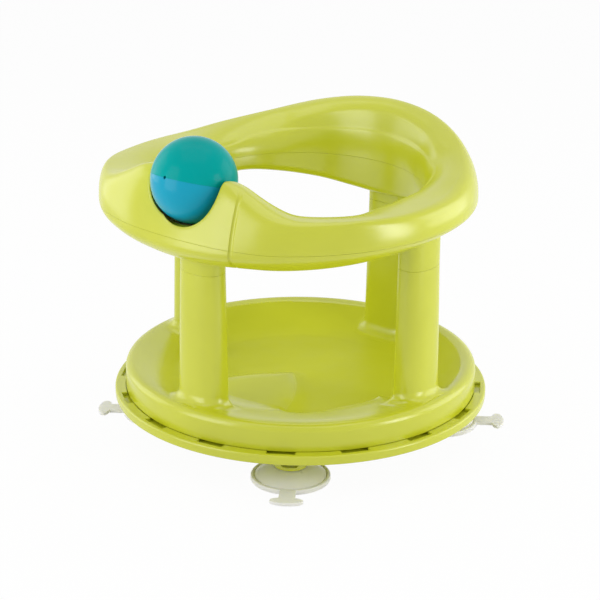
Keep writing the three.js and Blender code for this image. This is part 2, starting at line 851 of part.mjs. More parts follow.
function makeScrew(length) {
  return turned(
    [
      [0, -length],
      [screwRadius, -length + 2 * screwRadius],
      [screwRadius, 0],
      [screwHeadRadius, 0],
      [0.75 * screwHeadRadius, screwHeadHeight],
      [0, screwHeadHeight],
    ],
    smallSteps,
  );
}

// The whole seat

const group = new THREE.Group();
const base = new THREE.Group();
const seat = new THREE.Group();
const ball = new THREE.Group();
seat.rotation.z = seatTurn;
ball.position.copy(ballPlace);
ball.rotation.x = ballTurn;
group.add(base, seat);
seat.add(ball);

base.add(piece('base_ring', makeBaseRing(), limePlastic()));
const cup = makeCup().translate([0, -cupPitchRadius, 0]);
for (let i = 0; i < cupCount; i += 1) {
  base.add(piece(`suction_cup_${sides[i]}`, cup, clearRubber(), aboutZ(i * quarter)));
}

const { upper, lower } = makeRingShells();
seat.add(piece('seat_tray', makeTray(), limePlastic()));
seat.add(piece('ring_lower_shell', lower, limePlastic()));
seat.add(piece('ring_upper_shell', upper, limePlastic()));
seat.add(piece('ball_axle', atBall(crossBar(axleRadius, 2 * axleReach)), steel()));

const columnScrew = makeScrew(pilotDepth);
for (let i = 0; i < columnCount; i += 1) {
  const place = new THREE.Matrix4().makeTranslation(0, -columnPitchRadius, ringFloor + touchGap);
  seat.add(piece(`column_screw_${sides[i]}`, columnScrew, steel(), aboutZ(i * quarter).multiply(place)));
}

const shellScrew = makeScrew(shellScrewLength).mirror([0, 0, 1]);
shellScrewPlaces().forEach((place, i) => {
  const side = i < shellScrewShares.length ? 'left' : 'right';
  const number = (i % shellScrewShares.length) + 1;
  const seated = new THREE.Matrix4().makeTranslation(place.x, place.y, screwSeat - touchGap);
  seat.add(piece(`shell_screw_${side}_${number}`, shellScrew, steel(), seated));
});

ball.add(piece('ball_upper_half', makeBallHalf(1), tealPlastic()));
ball.add(piece('ball_lower_half', makeBallHalf(-1), bluePlastic()));

export default group;
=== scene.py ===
import math

import bmesh
import bpy
import numpy as np
from mathutils import Matrix, Vector, geometry


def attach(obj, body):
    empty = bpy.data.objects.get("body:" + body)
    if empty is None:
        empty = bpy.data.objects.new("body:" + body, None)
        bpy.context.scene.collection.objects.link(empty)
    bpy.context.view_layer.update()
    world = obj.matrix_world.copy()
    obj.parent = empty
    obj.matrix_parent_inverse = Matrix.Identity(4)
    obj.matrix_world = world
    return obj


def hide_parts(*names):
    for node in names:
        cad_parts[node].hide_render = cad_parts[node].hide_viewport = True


# A baby bath seat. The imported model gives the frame, and every visible piece is made again from the
# same sizes with finer faces, rounded edges and its own finish. Sizes are in millimetres.
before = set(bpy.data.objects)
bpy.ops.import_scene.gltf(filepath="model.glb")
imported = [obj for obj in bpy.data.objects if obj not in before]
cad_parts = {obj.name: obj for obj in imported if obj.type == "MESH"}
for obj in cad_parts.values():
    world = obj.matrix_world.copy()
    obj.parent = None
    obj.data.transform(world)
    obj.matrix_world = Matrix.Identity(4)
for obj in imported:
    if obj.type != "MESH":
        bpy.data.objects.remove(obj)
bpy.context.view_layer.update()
scene = bpy.context.scene
mm = 0.001
print("frame loaded:", len(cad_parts), "nodes")

fits = {
    "gap": 0.3,  # between pieces that touch
    "seam": 0.1,  # where two mouldings close on each other
    "running": 0.5,  # between pieces that move
    "overrun": 2,  # how far a cutting shape runs past what it cuts
    "edge": 0.22,  # rounding of the moulded edges at a parting
    "edgeSteps": 3,  # faces round such an edge
    "wall": 2.6,
}
rest = {  # how the seat and the ball are turned, as in the photograph
    "seatTurn": math.radians(-36.3),
    "ballTurn": math.radians(-16),
}
studio = {
    "azimuth": 3.5,  # of the camera, from -Y towards +X
    "elevation": 20.4,
    "roll": 0.49,
    "distance": 1700,
    "target": (-1.0, 0, 112.8),  # before the azimuth turns it
    "focal": 115.68,
    "sensor": 36,
    "worldLight": 0.44,
    "floorWhite": 0.96,  # share of the floor that shows as plain white
    "floorPaper": 0.9,  # colour of the rest
    "floorReach": 9000,
}


# The camera that fits the photograph: turned about the base's middle, raised and rolled
def aimCamera():
    azimuth = math.radians(studio["azimuth"])
    elevation = math.radians(studio["elevation"])
    roll = math.radians(studio["roll"])
    turn = Matrix.Rotation(azimuth, 3, "Z")
    forward = turn @ Vector((0, math.cos(elevation), -math.sin(elevation)))
    across = turn @ Vector((1, 0, 0))
    upward = turn @ Vector((0, math.sin(elevation), math.cos(elevation)))
    right = across * math.cos(roll) + upward * math.sin(roll)
    top = upward * math.cos(roll) - across * math.sin(roll)
    data = bpy.data.cameras.new("camera")
    data.sensor_width = studio["sensor"]
    data.lens = studio["focal"]
    data.clip_end = 20
    camera = bpy.data.objects.new("camera", data)
    scene.collection.objects.link(camera)
    place = Matrix((right, top, -forward)).transposed().to_4x4()
    place.translation = (turn @ Vector(studio["target"]) - forward * studio["distance"]) * mm
    camera.matrix_world = place
    scene.camera = camera


aimCamera()
print("camera set")


# Shapes from points
def makeObject(name, points, faces):
    mesh = bpy.data.meshes.new(name)
    mesh.from_pydata((np.asarray(points, float) * mm).tolist(), [], faces)
    mesh.update()
    piece = bpy.data.objects.new(name, mesh)
    scene.collection.objects.link(piece)
    return piece


def pointOutwards(piece):
    shape = bmesh.new()
    shape.from_mesh(piece.data)
    bmesh.ops.recalc_face_normals(shape, faces=shape.faces)
    if shape.calc_volume(signed=True) < 0:
        bmesh.ops.reverse_faces(shape, faces=shape.faces)
    shape.to_mesh(piece.data)
    shape.free()
    return piece


# A skin over rings of points: closed like a tyre, or with a flat cap at each end
def loft(name, rings, closed=False):
    rings = np.asarray(rings, float)
    rows, columns = rings.shape[:2]
    grid = np.arange(rows * columns).reshape(rows, columns)
    below = grid if closed else grid[:-1]
    above = np.roll(grid, -1, 0) if closed else grid[1:]
    quads = np.stack([below, above, np.roll(above, -1, 1), np.roll(below, -1, 1)], -1)
    faces = quads.reshape(-1, 4).tolist()
    if not closed:
        faces += [grid[0].tolist(), grid[-1][::-1].tolist()]
    return pointOutwards(makeObject(name, rings.reshape(-1, 3), faces))


# A flat outline as a ring of points at one level
def atLevel(outline, level):
    return np.column_stack([outline, np.full(len(outline), level)])


# A profile of (radius, height) points turned about Z
def turned(name, profile, steps, closed=False):
    profile = np.asarray(profile, float)
    turns = np.linspace(0, 2 * math.pi, steps, endpoint=False)
    radius, height = profile[:, :1], profile[:, 1:]
    rings = np.stack([radius * np.cos(turns), radius * np.sin(turns), height + 0 * turns], -1)
    return loft(name, rings, closed)


def bar(name, radius, low, high, x=0, y=0, steps=32):
    piece = turned(name, [(radius, low), (radius, high)], steps)
    return shifted(piece, (x, y, 0))


def block(name, low, high):
    corners = [(low[0], low[1]), (high[0], low[1]), (high[0], high[1]), (low[0], high[1])]
    return loft(name, [atLevel(corners, z) for z in (low[2], high[2])])


def ballShape(name, radius, steps):
    lift = np.linspace(-math.pi / 2, math.pi / 2, steps + 1)[1:-1]
    profile = np.stack([radius * np.cos(lift), radius * np.sin(lift)], -1)
    return turned(name, profile, 2 * steps)


def shifted(piece, step):
    piece.data.transform(Matrix.Translation(Vector(step) * mm))
    return piece


def swung(piece, angle, axis="Z"):
    piece.data.transform(Matrix.Rotation(angle, 4, axis))
    return piece


def copied(piece, name):
    twin = bpy.data.objects.new(name, piece.data.copy())
    scene.collection.objects.link(twin)
    return twin


# Takes a piece's modifiers into its mesh
def settle(piece):
    depsgraph = bpy.context.evaluated_depsgraph_get()
    mesh = bpy.data.meshes.new_from_object(piece.evaluated_get(depsgraph))
    piece.modifiers.clear()
    piece.data = mesh
    return piece


# Joins, cuts or intersects a piece with others, which are used up
def combine(piece, operation, *tools):
    for tool in tools:
        modifier = piece.modifiers.new("combine", "BOOLEAN")
        modifier.operation = operation
        modifier.solver = "MANIFOLD"
        modifier.object = tool
    settle(piece)
    for tool in tools:
        bpy.data.objects.remove(tool)
    return piece


def finishSurface(piece, sharpAngle=33):
    piece.data.shade_smooth()
    piece.data.set_sharp_from_angle(angle=math.radians(sharpAngle))
    weighted = piece.modifiers.new("weighted", "WEIGHTED_NORMAL")
    weighted.keep_sharp = True
    weighted.weight = 50
    return settle(piece)


def dress(piece, name, body, material, cadNodes):
    piece.name = name
    piece.data.name = name
    piece.data.materials.clear()
    piece.data.materials.append(material)
    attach(piece, body)
    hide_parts(*cadNodes)
    return piece


# Reads a table of rows (share, value, value, ...) with smooth and unwavering slopes
def readTable(table, shares, column):
    table = np.asarray(table, float)
    knots, values = table[:, 0], table[:, column]
    rises = np.diff(values) / np.diff(knots)
    before, after = rises[:-1], rises[1:]
    even = before * after > 0
    slopes = np.zeros(len(knots))
    slopes[1:-1][even] = 2 * before[even] * after[even] / (before[even] + after[even])
    at = np.clip(np.searchsorted(knots, shares, side="left") - 1, 0, len(knots) - 2)
    step = knots[at + 1] - knots[at]
    t = np.clip((shares - knots[at]) / step, 0, 1)
    start, end = values[at], values[at + 1]
    return (
        start
        + (end - start) * t * t * (3 - 2 * t)
        + step * slopes[at] * t * (1 - t) ** 2
        - step * slopes[at + 1] * t * t * (1 - t)
    )


# Geometry Nodes: copies of one object set evenly about Z, or one at each point of a mesh
def newTree(name, inputs):
    tree = bpy.data.node_groups.new(name, "GeometryNodeTree")
    tree.interface.new_socket("Geometry", in_out="INPUT", socket_type="NodeSocketGeometry")
    for label, kind in inputs:
        tree.interface.new_socket(label, in_out="INPUT", socket_type="NodeSocket" + kind)
    tree.interface.new_socket("Geometry", in_out="OUTPUT", socket_type="NodeSocketGeometry")
    return tree, tree.nodes.new("NodeGroupInput"), tree.nodes.new("NodeGroupOutput")


def endTree(tree, instances, source, output):
    realize = tree.nodes.new("GeometryNodeRealizeInstances")
    finish = tree.nodes.new("GeometryNodeSetMaterial")
    tree.links.new(instances, realize.inputs[0])
    tree.links.new(realize.outputs[0], finish.inputs["Geometry"])
    tree.links.new(source.outputs["Finish"], finish.inputs["Material"])
    tree.links.new(finish.outputs[0], output.inputs[0])


def makeAroundTree():
    labels = [("Piece", "Object"), ("Count", "Int"), ("First Turn", "Float"), ("Finish", "Material")]
    tree, source, output = newTree("aroundTheAxis", labels)
    points = tree.nodes.new("GeometryNodeMeshLine")
    points.inputs["Offset"].default_value = (0, 0, 0)
    info = tree.nodes.new("GeometryNodeObjectInfo")
    index = tree.nodes.new("GeometryNodeInputIndex")
    part = tree.nodes.new("ShaderNodeMath")
    part.operation = "DIVIDE"
    turn = tree.nodes.new("ShaderNodeMath")
    turn.operation = "MULTIPLY_ADD"
    turn.inputs[1].default_value = 2 * math.pi
    rotation = tree.nodes.new("ShaderNodeCombineXYZ")
    copies = tree.nodes.new("GeometryNodeInstanceOnPoints")
    link = tree.links.new
    link(source.outputs["Count"], points.inputs["Count"])
    link(source.outputs["Piece"], info.inputs["Object"])
    link(index.outputs[0], part.inputs[0])
    link(source.outputs["Count"], part.inputs[1])
    link(part.outputs[0], turn.inputs[0])
    link(source.outputs["First Turn"], turn.inputs[2])
    link(turn.outputs[0], rotation.inputs["Z"])
    link(points.outputs["Mesh"], copies.inputs["Points"])
    link(info.outputs["Geometry"], copies.inputs["Instance"])
    link(rotation.outputs[0], copies.inputs["Rotation"])
    endTree(tree, copies.outputs[0], source, output)
    return tree


def makePointsTree():
    tree, source, output = newTree("onePerPoint", [("Piece", "Object"), ("Finish", "Material")])
    info = tree.nodes.new("GeometryNodeObjectInfo")
    copies = tree.nodes.new("GeometryNodeInstanceOnPoints")
    tree.links.new(source.outputs["Geometry"], copies.inputs["Points"])
    tree.links.new(source.outputs["Piece"], info.inputs["Object"])
    tree.links.new(info.outputs["Geometry"], copies.inputs["Instance"])
    endTree(tree, copies.outputs[0], source, output)
    return tree


def runTree(piece, tree, **values):
    modifier = piece.modifiers.new("nodes", "NODES")
    modifier.node_group = tree
    for item in tree.interface.items_tree:
        label = item.name.replace(" ", "")
        if item.in_out == "INPUT" and label in values:
            modifier[item.identifier] = values[label]
    return settle(piece)


aroundTree = makeAroundTree()
pointsTree = makePointsTree()


# One mesh of several copies of a piece set about Z; the single piece is used up
def repeated(piece, name, count, firstTurn=0.0, finish=None):
    copies = makeObject(name, [(0, 0, 0)], [])
    runTree(copies, aroundTree, Piece=piece, Count=count, FirstTurn=firstTurn, Finish=finish)
    bpy.data.objects.remove(piece)
    return copies


# Finishes
noiseRange = (0.3, 0.7)  # nearly all of a noise's values lie between these


def plasticFinish(name, look):
    material = bpy.data.materials.new(name)
    material.use_nodes = True
    tree = material.node_tree
    link = tree.links.new
    shader = tree.nodes["Principled BSDF"]
    shader.inputs["IOR"].default_value = look["ior"]
    shader.inputs["Specular IOR Level"].default_value = look["shine"]
    shader.inputs["Subsurface Weight"].default_value = look["glow"]
    shader.inputs["Subsurface Radius"].default_value = look["glowColour"]
    shader.inputs["Subsurface Scale"].default_value = look["glowDepth"] * mm
    shader.inputs["Transmission Weight"].default_value = look.get("clear", 0)
    where = tree.nodes.new("ShaderNodeTexCoord")

    def noise(scale, detail):
        node = tree.nodes.new("ShaderNodeTexNoise")
        node.inputs["Scale"].default_value = scale
        node.inputs["Detail"].default_value = detail
        link(where.outputs["Object"], node.inputs["Vector"])
        return node.outputs["Fac"]

    def ranged(value, low, high):
        node = tree.nodes.new("ShaderNodeMapRange")
        node.inputs["From Min"].default_value, node.inputs["From Max"].default_value = noiseRange
        node.inputs["To Min"].default_value = low
        node.inputs["To Max"].default_value = high
        link(value, node.inputs["Value"])
        return node.outputs["Result"]

    # Colour: slow clouds of pigment in the moulding
    clouds = tree.nodes.new("ShaderNodeMix")
    clouds.data_type = "RGBA"
    clouds.inputs["A"].default_value = (*look["deep"], 1)
    clouds.inputs["B"].default_value = (*look["pale"], 1)
    link(ranged(noise(look["cloudScale"], look["cloudDetail"]), 0.0, 1.0), clouds.inputs["Factor"])
    link(clouds.outputs["Result"], shader.inputs["Base Color"])

    # Gloss: a polished mould with faintly duller patches, and more polish where a piece says so
    gloss = tree.nodes.new("ShaderNodeMix")
    gloss.inputs["B"].default_value = look["polished"]
    polish = tree.nodes.new("ShaderNodeAttribute")
    polish.attribute_name = "polish"
    link(polish.outputs["Fac"], gloss.inputs["Factor"])
    patches = noise(look["patchScale"], look["patchDetail"])
    link(ranged(patches, *look["roughness"]), gloss.inputs["A"])
    link(gloss.outputs["Result"], shader.inputs["Roughness"])

    # Relief: slow sink marks and a fine moulded grain
    sink = tree.nodes.new("ShaderNodeBump")
    sink.inputs["Strength"].default_value = look["sink"]
    sink.inputs["Distance"].default_value = look["sinkDepth"] * mm
    grain = tree.nodes.new("ShaderNodeBump")
    grain.inputs["Strength"].default_value = look["grain"]
    grain.inputs["Distance"].default_value = look["grainDepth"] * mm
    link(noise(look["sinkScale"], look["sinkDetail"]), sink.inputs["Height"])
    link(noise(look["grainScale"], look["grainDetail"]), grain.inputs["Height"])
    link(sink.outputs["Normal"], grain.inputs["Normal"])
    link(grain.outputs["Normal"], shader.inputs["Normal"])
    return material


moulded = {
    "ior": 1.49,
    "shine": 0.85,
    "glow": 0.0,
    "glowColour": (1.0, 0.9, 0.3),
    "glowDepth": 1.5,
    "cloudScale": 14,
    "cloudDetail": 3,
    "patchScale": 60,
    "patchDetail": 5,
    "roughness": (0.2, 0.27),
    "polished": 0.2,  # roughness where a piece is worn to a polish
    "sink": 0.25,
    "sinkDepth": 0.35,
    "sinkScale": 22,
    "sinkDetail": 1,
    "grain": 0.12,
    "grainDepth": 0.03,
    "grainScale": 900,
    "grainDetail": 2,
}
limeLook = {**moulded, "deep": (0.57, 0.60, 0.018), "pale": (0.61, 0.64, 0.022)}
gripLook = {
    **limeLook,
    "shine": 0.16,
    "roughness": (0.42, 0.5),
    "grain": 0.3,
    "grainDepth": 0.05,
    "grainScale": 1500,
}
tealLook = {
    **moulded,
    "deep": (0.0, 0.355, 0.335),
    "pale": (0.0, 0.385, 0.365),
    "shine": 0.06,
    "roughness": (0.13, 0.18),
    "sink": 0.1,
}
blueLook = {
    **moulded,
    "deep": (0.006, 0.35, 0.52),
    "pale": (0.01, 0.38, 0.56),
    "shine": 0.14,
    "roughness": (0.13, 0.18),
    "sink": 0.1,
}
rubberLook = {
    **moulded,
    "deep": (0.93, 0.915, 0.855),
    "pale": (0.96, 0.95, 0.90),
    "ior": 1.45,
    "clear": 0.08,
    "glow": 0.4,
    "glowColour": (1.0, 0.95, 0.8),
    "glowDepth": 3.0,
    "roughness": (0.26, 0.36),
    "cloudScale": 40,
    "grain": 0.2,
}
steelLook = {
    "colour": (0.56, 0.57, 0.58),
    "roughness": (0.25, 0.4),
    "scale": 600,
    "detail": 4,
    "relief": 0.2,
    "reliefDepth": 0.02,
}


def steelFinish(look):
    material = bpy.data.materials.new("steel")
    material.use_nodes = True
    tree = material.node_tree
    shader = tree.nodes["Principled BSDF"]
    shader.inputs["Metallic"].default_value = 1
    shader.inputs["Base Color"].default_value = (*look["colour"], 1)
    where = tree.nodes.new("ShaderNodeTexCoord")
    grain = tree.nodes.new("ShaderNodeTexNoise")
    grain.inputs["Scale"].default_value = look["scale"]
    grain.inputs["Detail"].default_value = look["detail"]
    spread = tree.nodes.new("ShaderNodeMapRange")
    spread.inputs["To Min"].default_value, spread.inputs["To Max"].default_value = look["roughness"]
    relief = tree.nodes.new("ShaderNodeBump")
    relief.inputs["Strength"].default_value = look["relief"]
    relief.inputs["Distance"].default_value = look["reliefDepth"] * mm
    tree.links.new(where.outputs["Object"], grain.inputs["Vector"])
    tree.links.new(grain.outputs["Fac"], spread.inputs["Value"])
    tree.links.new(spread.outputs["Result"], shader.inputs["Roughness"])
    tree.links.new(grain.outputs["Fac"], relief.inputs["Height"])
    tree.links.new(relief.outputs["Normal"], shader.inputs["Normal"])
    return material


limePlastic = plasticFinish("limePlastic", limeLook)
limeGrip = plasticFinish("limeGrip", gripLook)  # for the hollow that is sat in, eroded so that it grips
tealPlastic = plasticFinish("tealPlastic", tealLook)
bluePlastic = plasticFinish("bluePlastic", blueLook)
clearRubber = plasticFinish("clearRubber", rubberLook)
steel = steelFinish(steelLook)
print("finishes made")

# Sizes of the tray, the base ring and the cups, which meet one another
tray = {
    "radius": 155.3,
    "rimRadius": 148,
    "rimHeight": 60.7,
    "rimRounding": 6.4,
    "floorRadius": 96,
    "floorHeight": 41,
    "lip": 6,
    "lipThickness": 2.6,
    "neck": 6,  # how far it stands back inside the base
    "neckRounding": 0.8,
    "skirtRounding": 0.4,
    "skirtDip": 0.2,  # how far the skirt reaches below the base's top
    "middles": (4, 24, 48, 72),  # radii of the flat floor's circles
    "slopeSteps": 59,
    "rimSteps": 16,
    "steps": 240,
}
base = {
    "radius": 165,
    "top": 37.7,
    "depth": 8.5,
    "rounding": 1.8,
    "roundingSteps": 8,
    "innerRadius": 106,
    "railRadius": 143,
    "railHeight": 3.6,
    "slotCount": 16,
    "slotLength": 23.5,
    "slotWidth": 4.2,
    "slotTurn": math.radians(-2.2),
    "slotRounding": 1.0,
    "lugWidth": 28,
    "lugFloor": 3,
    "lugTail": 14,
    "lugRounding": 0.6,
    "windowRounding": 0.48,  # share of the window's height, at its ends
    "windowSteps": 8,
    "steps": 288,
}
cup = {
    "count": 4,
    "pitchRadius": 125.7,
    "radius": 33.7,
    "rimHeight": 4.2,
    "rimWidth": 2.2,
    "rimRounding": 1.4,
    "bead": 3.6,
    "groove": [(1.1, 0), (0.7, 0.2), (0.45, 0.9), (0, 0.9)],  # out and down from the bead's inner edge
    "grooveFloor": 0.25,  # between the bead and the dome
    "dome": 11.9,
    "domeCurve": 1.6,
    "domeSteps": 16,
    "hollow": 5.2,
    "hollowCurve": 2.2,
    "hollowSteps": 12,
    "lipRounding": 0.5,
    "middle": 0.3,  # radius of the tiny flats on its axis
    "shoulderRadius": 9.5,
    "shoulderFillet": 0.8,
    "shoulderRise": 0.1,
    "neckRadius": 5.4,
    "headRadius": 7.2,
    "headHeight": 4.2,
    "headRounding": 1.0,
    "headChamfer": 0.3,
    "tabNeckWidth": 13.9,
    "tabRoot": 1.76,  # how far the tab's neck reaches into the rim
    "tabThickness": 3,
    "tabReach": 51.3,
    "tabHeadLength": 28,
    "tabHeadWidth": 11.8,
    "tabRounding": 0.8,
    "tabSteps": 48,
    "steps": 96,
}
baseBottom = base["top"] - base["depth"]
baseFloor = baseBottom + fits["wall"]
channelMouth = tray["radius"] + fits["running"]
lugBottom = cup["dome"] + fits["gap"]


# Points round a centre, from one direction to another
def rounding(centre, radius, start, end, steps=6):
    turns = np.radians(np.linspace(start, end, steps + 1))
    return [(centre[0] + radius * math.cos(t), centre[1] + radius * math.sin(t)) for t in turns]


# The small rounding of a moulded edge whose sharp corner would be at (x, y), from a direction onwards
def edgeAt(x, y, start):
    edge = fits["edge"]
    middle = math.radians(start + 45)
    centre = (x - math.copysign(edge, math.cos(middle)), y - math.copysign(edge, math.sin(middle)))
    return rounding(centre, edge, start, start + 90, fits["edgeSteps"])


edgeShares = [(1, 0), (0.3, 0.3), (0, 1)]  # how far an edge stands back, and its rise


# Steps (how far to stand back, level) up the edge of a flat shape, or with a size below zero down it
def softEdge(level, size):
    return [(shrink * abs(size), level + rise * size) for shrink, rise in edgeShares]


# Base ring: a channel open to the inside, with slots in its top and a lug under it for each cup
def makeBaseRing():
    radius, top, soft, softSteps = base["radius"], base["top"], base["rounding"], base["roundingSteps"]
    wall = fits["wall"]
    inner, rail = base["innerRadius"], base["railRadius"]
    ribTop = baseFloor + base["railHeight"]
    profile = [
        *edgeAt(inner, baseBottom, 180),
        *rounding((radius - soft, baseBottom + soft), soft, -90, 0, softSteps),
        *rounding((radius - soft, top - soft), soft, 0, 90, softSteps),
        *edgeAt(channelMouth, top, 90),
        *edgeAt(channelMouth, top - wall, 180),
        (radius - wall, top - wall),
        (radius - wall, baseFloor),
        (rail + wall / 2, baseFloor),
        *edgeAt(rail + wall / 2, ribTop, 0),
        *edgeAt(rail - wall / 2, ribTop, 90),
        (rail - wall / 2, baseFloor),
        (inner + wall, baseFloor),
        *edgeAt(inner + wall, ribTop, 0),
        *edgeAt(inner, ribTop, 90),
    ]
    ring = turned("baseRing", profile, base["steps"], closed=True)
    lugs = repeated(makeLug(), "lugs", cup["count"])
    slots = repeated(makeSlotCutter(), "slots", base["slotCount"], base["slotTurn"])
    combine(ring, "UNION", lugs)
    return combine(ring, "DIFFERENCE", slots)


# The shape cut out for one slot: straight through the top wall, with a rounded edge to the face
def makeSlotCutter():
    top, soft = base["top"], base["slotRounding"]
    near, far = -channelMouth + fits["overrun"], -channelMouth - base["slotWidth"]
    levels = [
        (0, (top - fits["wall"] + baseFloor) / 2),
        *rounding((soft, top - soft), soft, 180, 90),
        (soft, top + fits["overrun"]),
    ]
    rings = []
    for grow, level in levels:
        x, y = base["slotLength"] / 2 + grow, far - grow
        rings.append(atLevel([(-x, y), (x, y), (x, near), (-x, near)], level))
    return loft("slot", rings)


# A rounded tongue under the base with the room for a cup's neck and head
def makeLug():
    half, tail = base["lugWidth"] / 2, base["lugTail"]
    outline = np.array([*rounding((0, 0), half, 180, 360, steps=24), (half, tail), (-half, tail)])
    levels = [*softEdge(lugBottom, base["lugRounding"]), (0, baseBottom + fits["wall"] / 2)]
    lug = loft("lug", [atLevel(outline * (1 - shrink / half), level) for shrink, level in levels])
    floorTop = lugBottom + base["lugFloor"]
    roof = floorTop + cup["headHeight"] + 3 * fits["gap"]
    neckRadius = cup["neckRadius"] + fits["running"]
    neck = bar("neck", neckRadius, lugBottom - fits["overrun"], floorTop + fits["gap"], steps=48)
    head = makeWindow(cup["headRadius"] + fits["running"], floorTop, roof)
    combine(lug, "DIFFERENCE", neck, head)
    return shifted(lug, (0, -cup["pitchRadius"], 0))


# The room for a cup's head: round at the back, and open to the front as a window with rounded ends
def makeWindow(radius, low, high):
    reach, tall = base["lugWidth"], high - low
    outline = np.array([*rounding((0, 0), radius, 0, 180, steps=24), (-radius, -reach), (radius, -reach)])
    soft = base["windowRounding"] * tall
    rings = []
    for t in np.radians(np.linspace(-90, 90, base["windowSteps"] + 1)):
        shrink = 1 - soft * (1 - math.cos(t)) / radius
        rings.append(atLevel(outline * (shrink, 1), (low + high) / 2 + tall / 2 * math.sin(t)))
    return loft("window", rings)


baseRing = finishSurface(makeBaseRing())
dress(baseRing, "baseRing", "base", limePlastic, ["base_ring"])
print("base ring made:", len(baseRing.data.polygons), "faces")


# Suction cups: a soft disc hollow underneath, a headed neck above and a pull tab
def makeCup():
    radius, rim, dome = cup["radius"], cup["rimHeight"], cup["dome"]
    neckTop = lugBottom + base["lugFloor"] + fits["gap"]
    headTop = neckTop + cup["headHeight"]
    under = []
    for share in np.linspace(0, 1, cup["hollowSteps"] + 1)[1:]:
        height = cup["hollow"] * (1 - share ** cup["hollowCurve"])
        under.append((share * (radius - cup["rimWidth"]), height))
    start = radius - cup["bead"]
    foot = start - cup["grooveFloor"]
    over = [(start + out, rim - down) for out, down in cup["groove"]]
    for share in np.linspace(0, 1, cup["domeSteps"] + 1):
        height = rim + (dome - rim) * (1 - (1 - share) ** cup["domeCurve"])
        over.append((foot - share * (foot - cup["shoulderRadius"]), height))
    lip, soft, fillet = cup["lipRounding"], cup["rimRounding"], cup["shoulderFillet"]
    neck, head, shoulder = cup["neckRadius"], cup["headRadius"], dome + cup["shoulderRise"]
    headSoft, chamfer = cup["headRounding"], cup["headChamfer"]
    profile = [
        (cup["middle"], cup["hollow"]),
        *under,
        *rounding((radius - lip, lip), lip, -90, 0, steps=4),
        *rounding((radius - soft, rim - soft), soft, 0, 90),
        *over,
        (neck + fillet, shoulder),
        (neck, shoulder + fillet),
        (neck, neckTop),
        (head - chamfer, neckTop),
        (head, neckTop + chamfer),
        *rounding((head - headSoft, headTop - headSoft), headSoft, 0, 90, steps=5),
        (cup["middle"], headTop),
    ]
    disc = turned("cup", profile, cup["steps"])
    combine(disc, "UNION", makeTab())
    return shifted(disc, (0, -cup["pitchRadius"], 0))


# A cup's pull tab: a straight neck that swells into an oval head
def makeTab():
    high = cup["rimHeight"]
    start = cup["radius"] - cup["tabRoot"]
    half = cup["tabNeckWidth"] / 2
    long, wide = cup["tabHeadLength"] / 2, cup["tabHeadWidth"] / 2
    joinTurn = math.acos(half / long)
    turns = np.linspace(-math.pi - joinTurn, joinTurn, cup["tabSteps"] + 1)
    head = [(long * math.cos(t), -cup["tabReach"] + wide * math.sin(t)) for t in turns]
    outline = np.array([*head, (half, -start), (-half, -start)])
    middle = np.array([0, -cup["tabReach"]])
    soft, pull = cup["tabRounding"], np.array([0.5, 1])  # stands back less along the long head
    rings = []
    for shrink, level in [*softEdge(high - cup["tabThickness"], soft), *softEdge(high, -soft)[::-1]]:
        flat = middle + (outline - middle) * (1 - shrink / wide * pull)
        flat[-2:, 1] = -start
        rings.append(atLevel(flat, level))
    return loft("tab", rings)


sides = ["front", "right", "back", "left"]
suctionCups = repeated(makeCup(), "suctionCups", cup["count"], 0.0, clearRubber)
finishSurface(suctionCups)
dress(suctionCups, "suctionCups", "base", clearRubber, ["suction_cup_" + s for s in sides])
print("suction cups made:", len(suctionCups.data.polygons), "faces")

# Seat tray: a dish with a rounded rim and four hollow columns. Its front is raised, and hollowed for the
# seat and both thighs, with a soft wedge between them. The slopes give the rise by the share of the way to
# the rim, and the outlines' right halves go by shares of the floor's radius
dishSlopeShares = [(0, 0), (0.25, 0.11), (0.55, 0.42), (0.8, 0.78), (1, 1)]
frontSlopeShares = [(0, 0), (0.1, 0.05), (0.3, 0.25), (0.5, 0.5), (0.75, 0.8), (0.9, 0.955), (1, 1)]
wedgeShares = [
    (0, -0.137),
    (0.207, -0.336),
    (0.38, -0.589),
    (0.44, -0.74),
    (0.5, -0.85),
    (0.5, -1.3),
    (0, -1.3),
]
hollowShares = [
    (0, -0.96),
    (0.3, -0.93),
    (0.46, -0.875),
    (0.5, -0.86),
    (0.56, -0.87),
    (0.654, -0.833),
    (0.75, -0.738),
    (0.815, -0.56),
    (0.9, -0.37),
    (0.965, -0.2),
    (0.975, -0.1),
    (0.953, -0.018),
    (1.7, 0.03),
    (1.7, 1.7),
]
front = {
    "height": 48.3,  # at the hollow's edge
    "bank": 2.6,  # how much higher it climbs away from that edge
    "bankWidth": 18,
    "step": 2.2,  # width of the step down into the hollow
    "wedgeSide": 26,  # width of the wedge's sides
    "wedgeCrest": 6,  # how much of that lies within its outline
    "polishFade": 6,  # how far outside its outline its polish fades out
    "footBlend": 6,  # over which the columns' feet bridge that step
}
trayMesh = {
    "floorSpacing": 3,  # of the circles on the flat floor
    "floorEnd": 90,
    "slopeStart": 92,
    "slopeSpacing": 1.5,
    "rimGap": 1,  # left free inside the rim
    "pointSpacing": 4,  # along a circle
    "twist": 0.3,  # turns the circles' points away from each other
    "lineSpacing": 1.4,  # along the lines that follow an outline
    "lineMargin": 30,  # how far past the rim an outline is followed
    "lineSlack": 0.12,  # drops points that lie nearer to another stretch of it
    "hollowInside": (-2.9, -2.2, -1.9, -1.6, -1.3, -1.0, -0.7, -0.4, -0.1),  # down its step
    "hollowOutside": (0.3, 0.9, 1.8, 3, 4.5, 6.5, 9, 12, 16, 21),
    "wedgeLines": (-9.8, -9.2, -6, -3, 0, 2.8, 3.4),
}
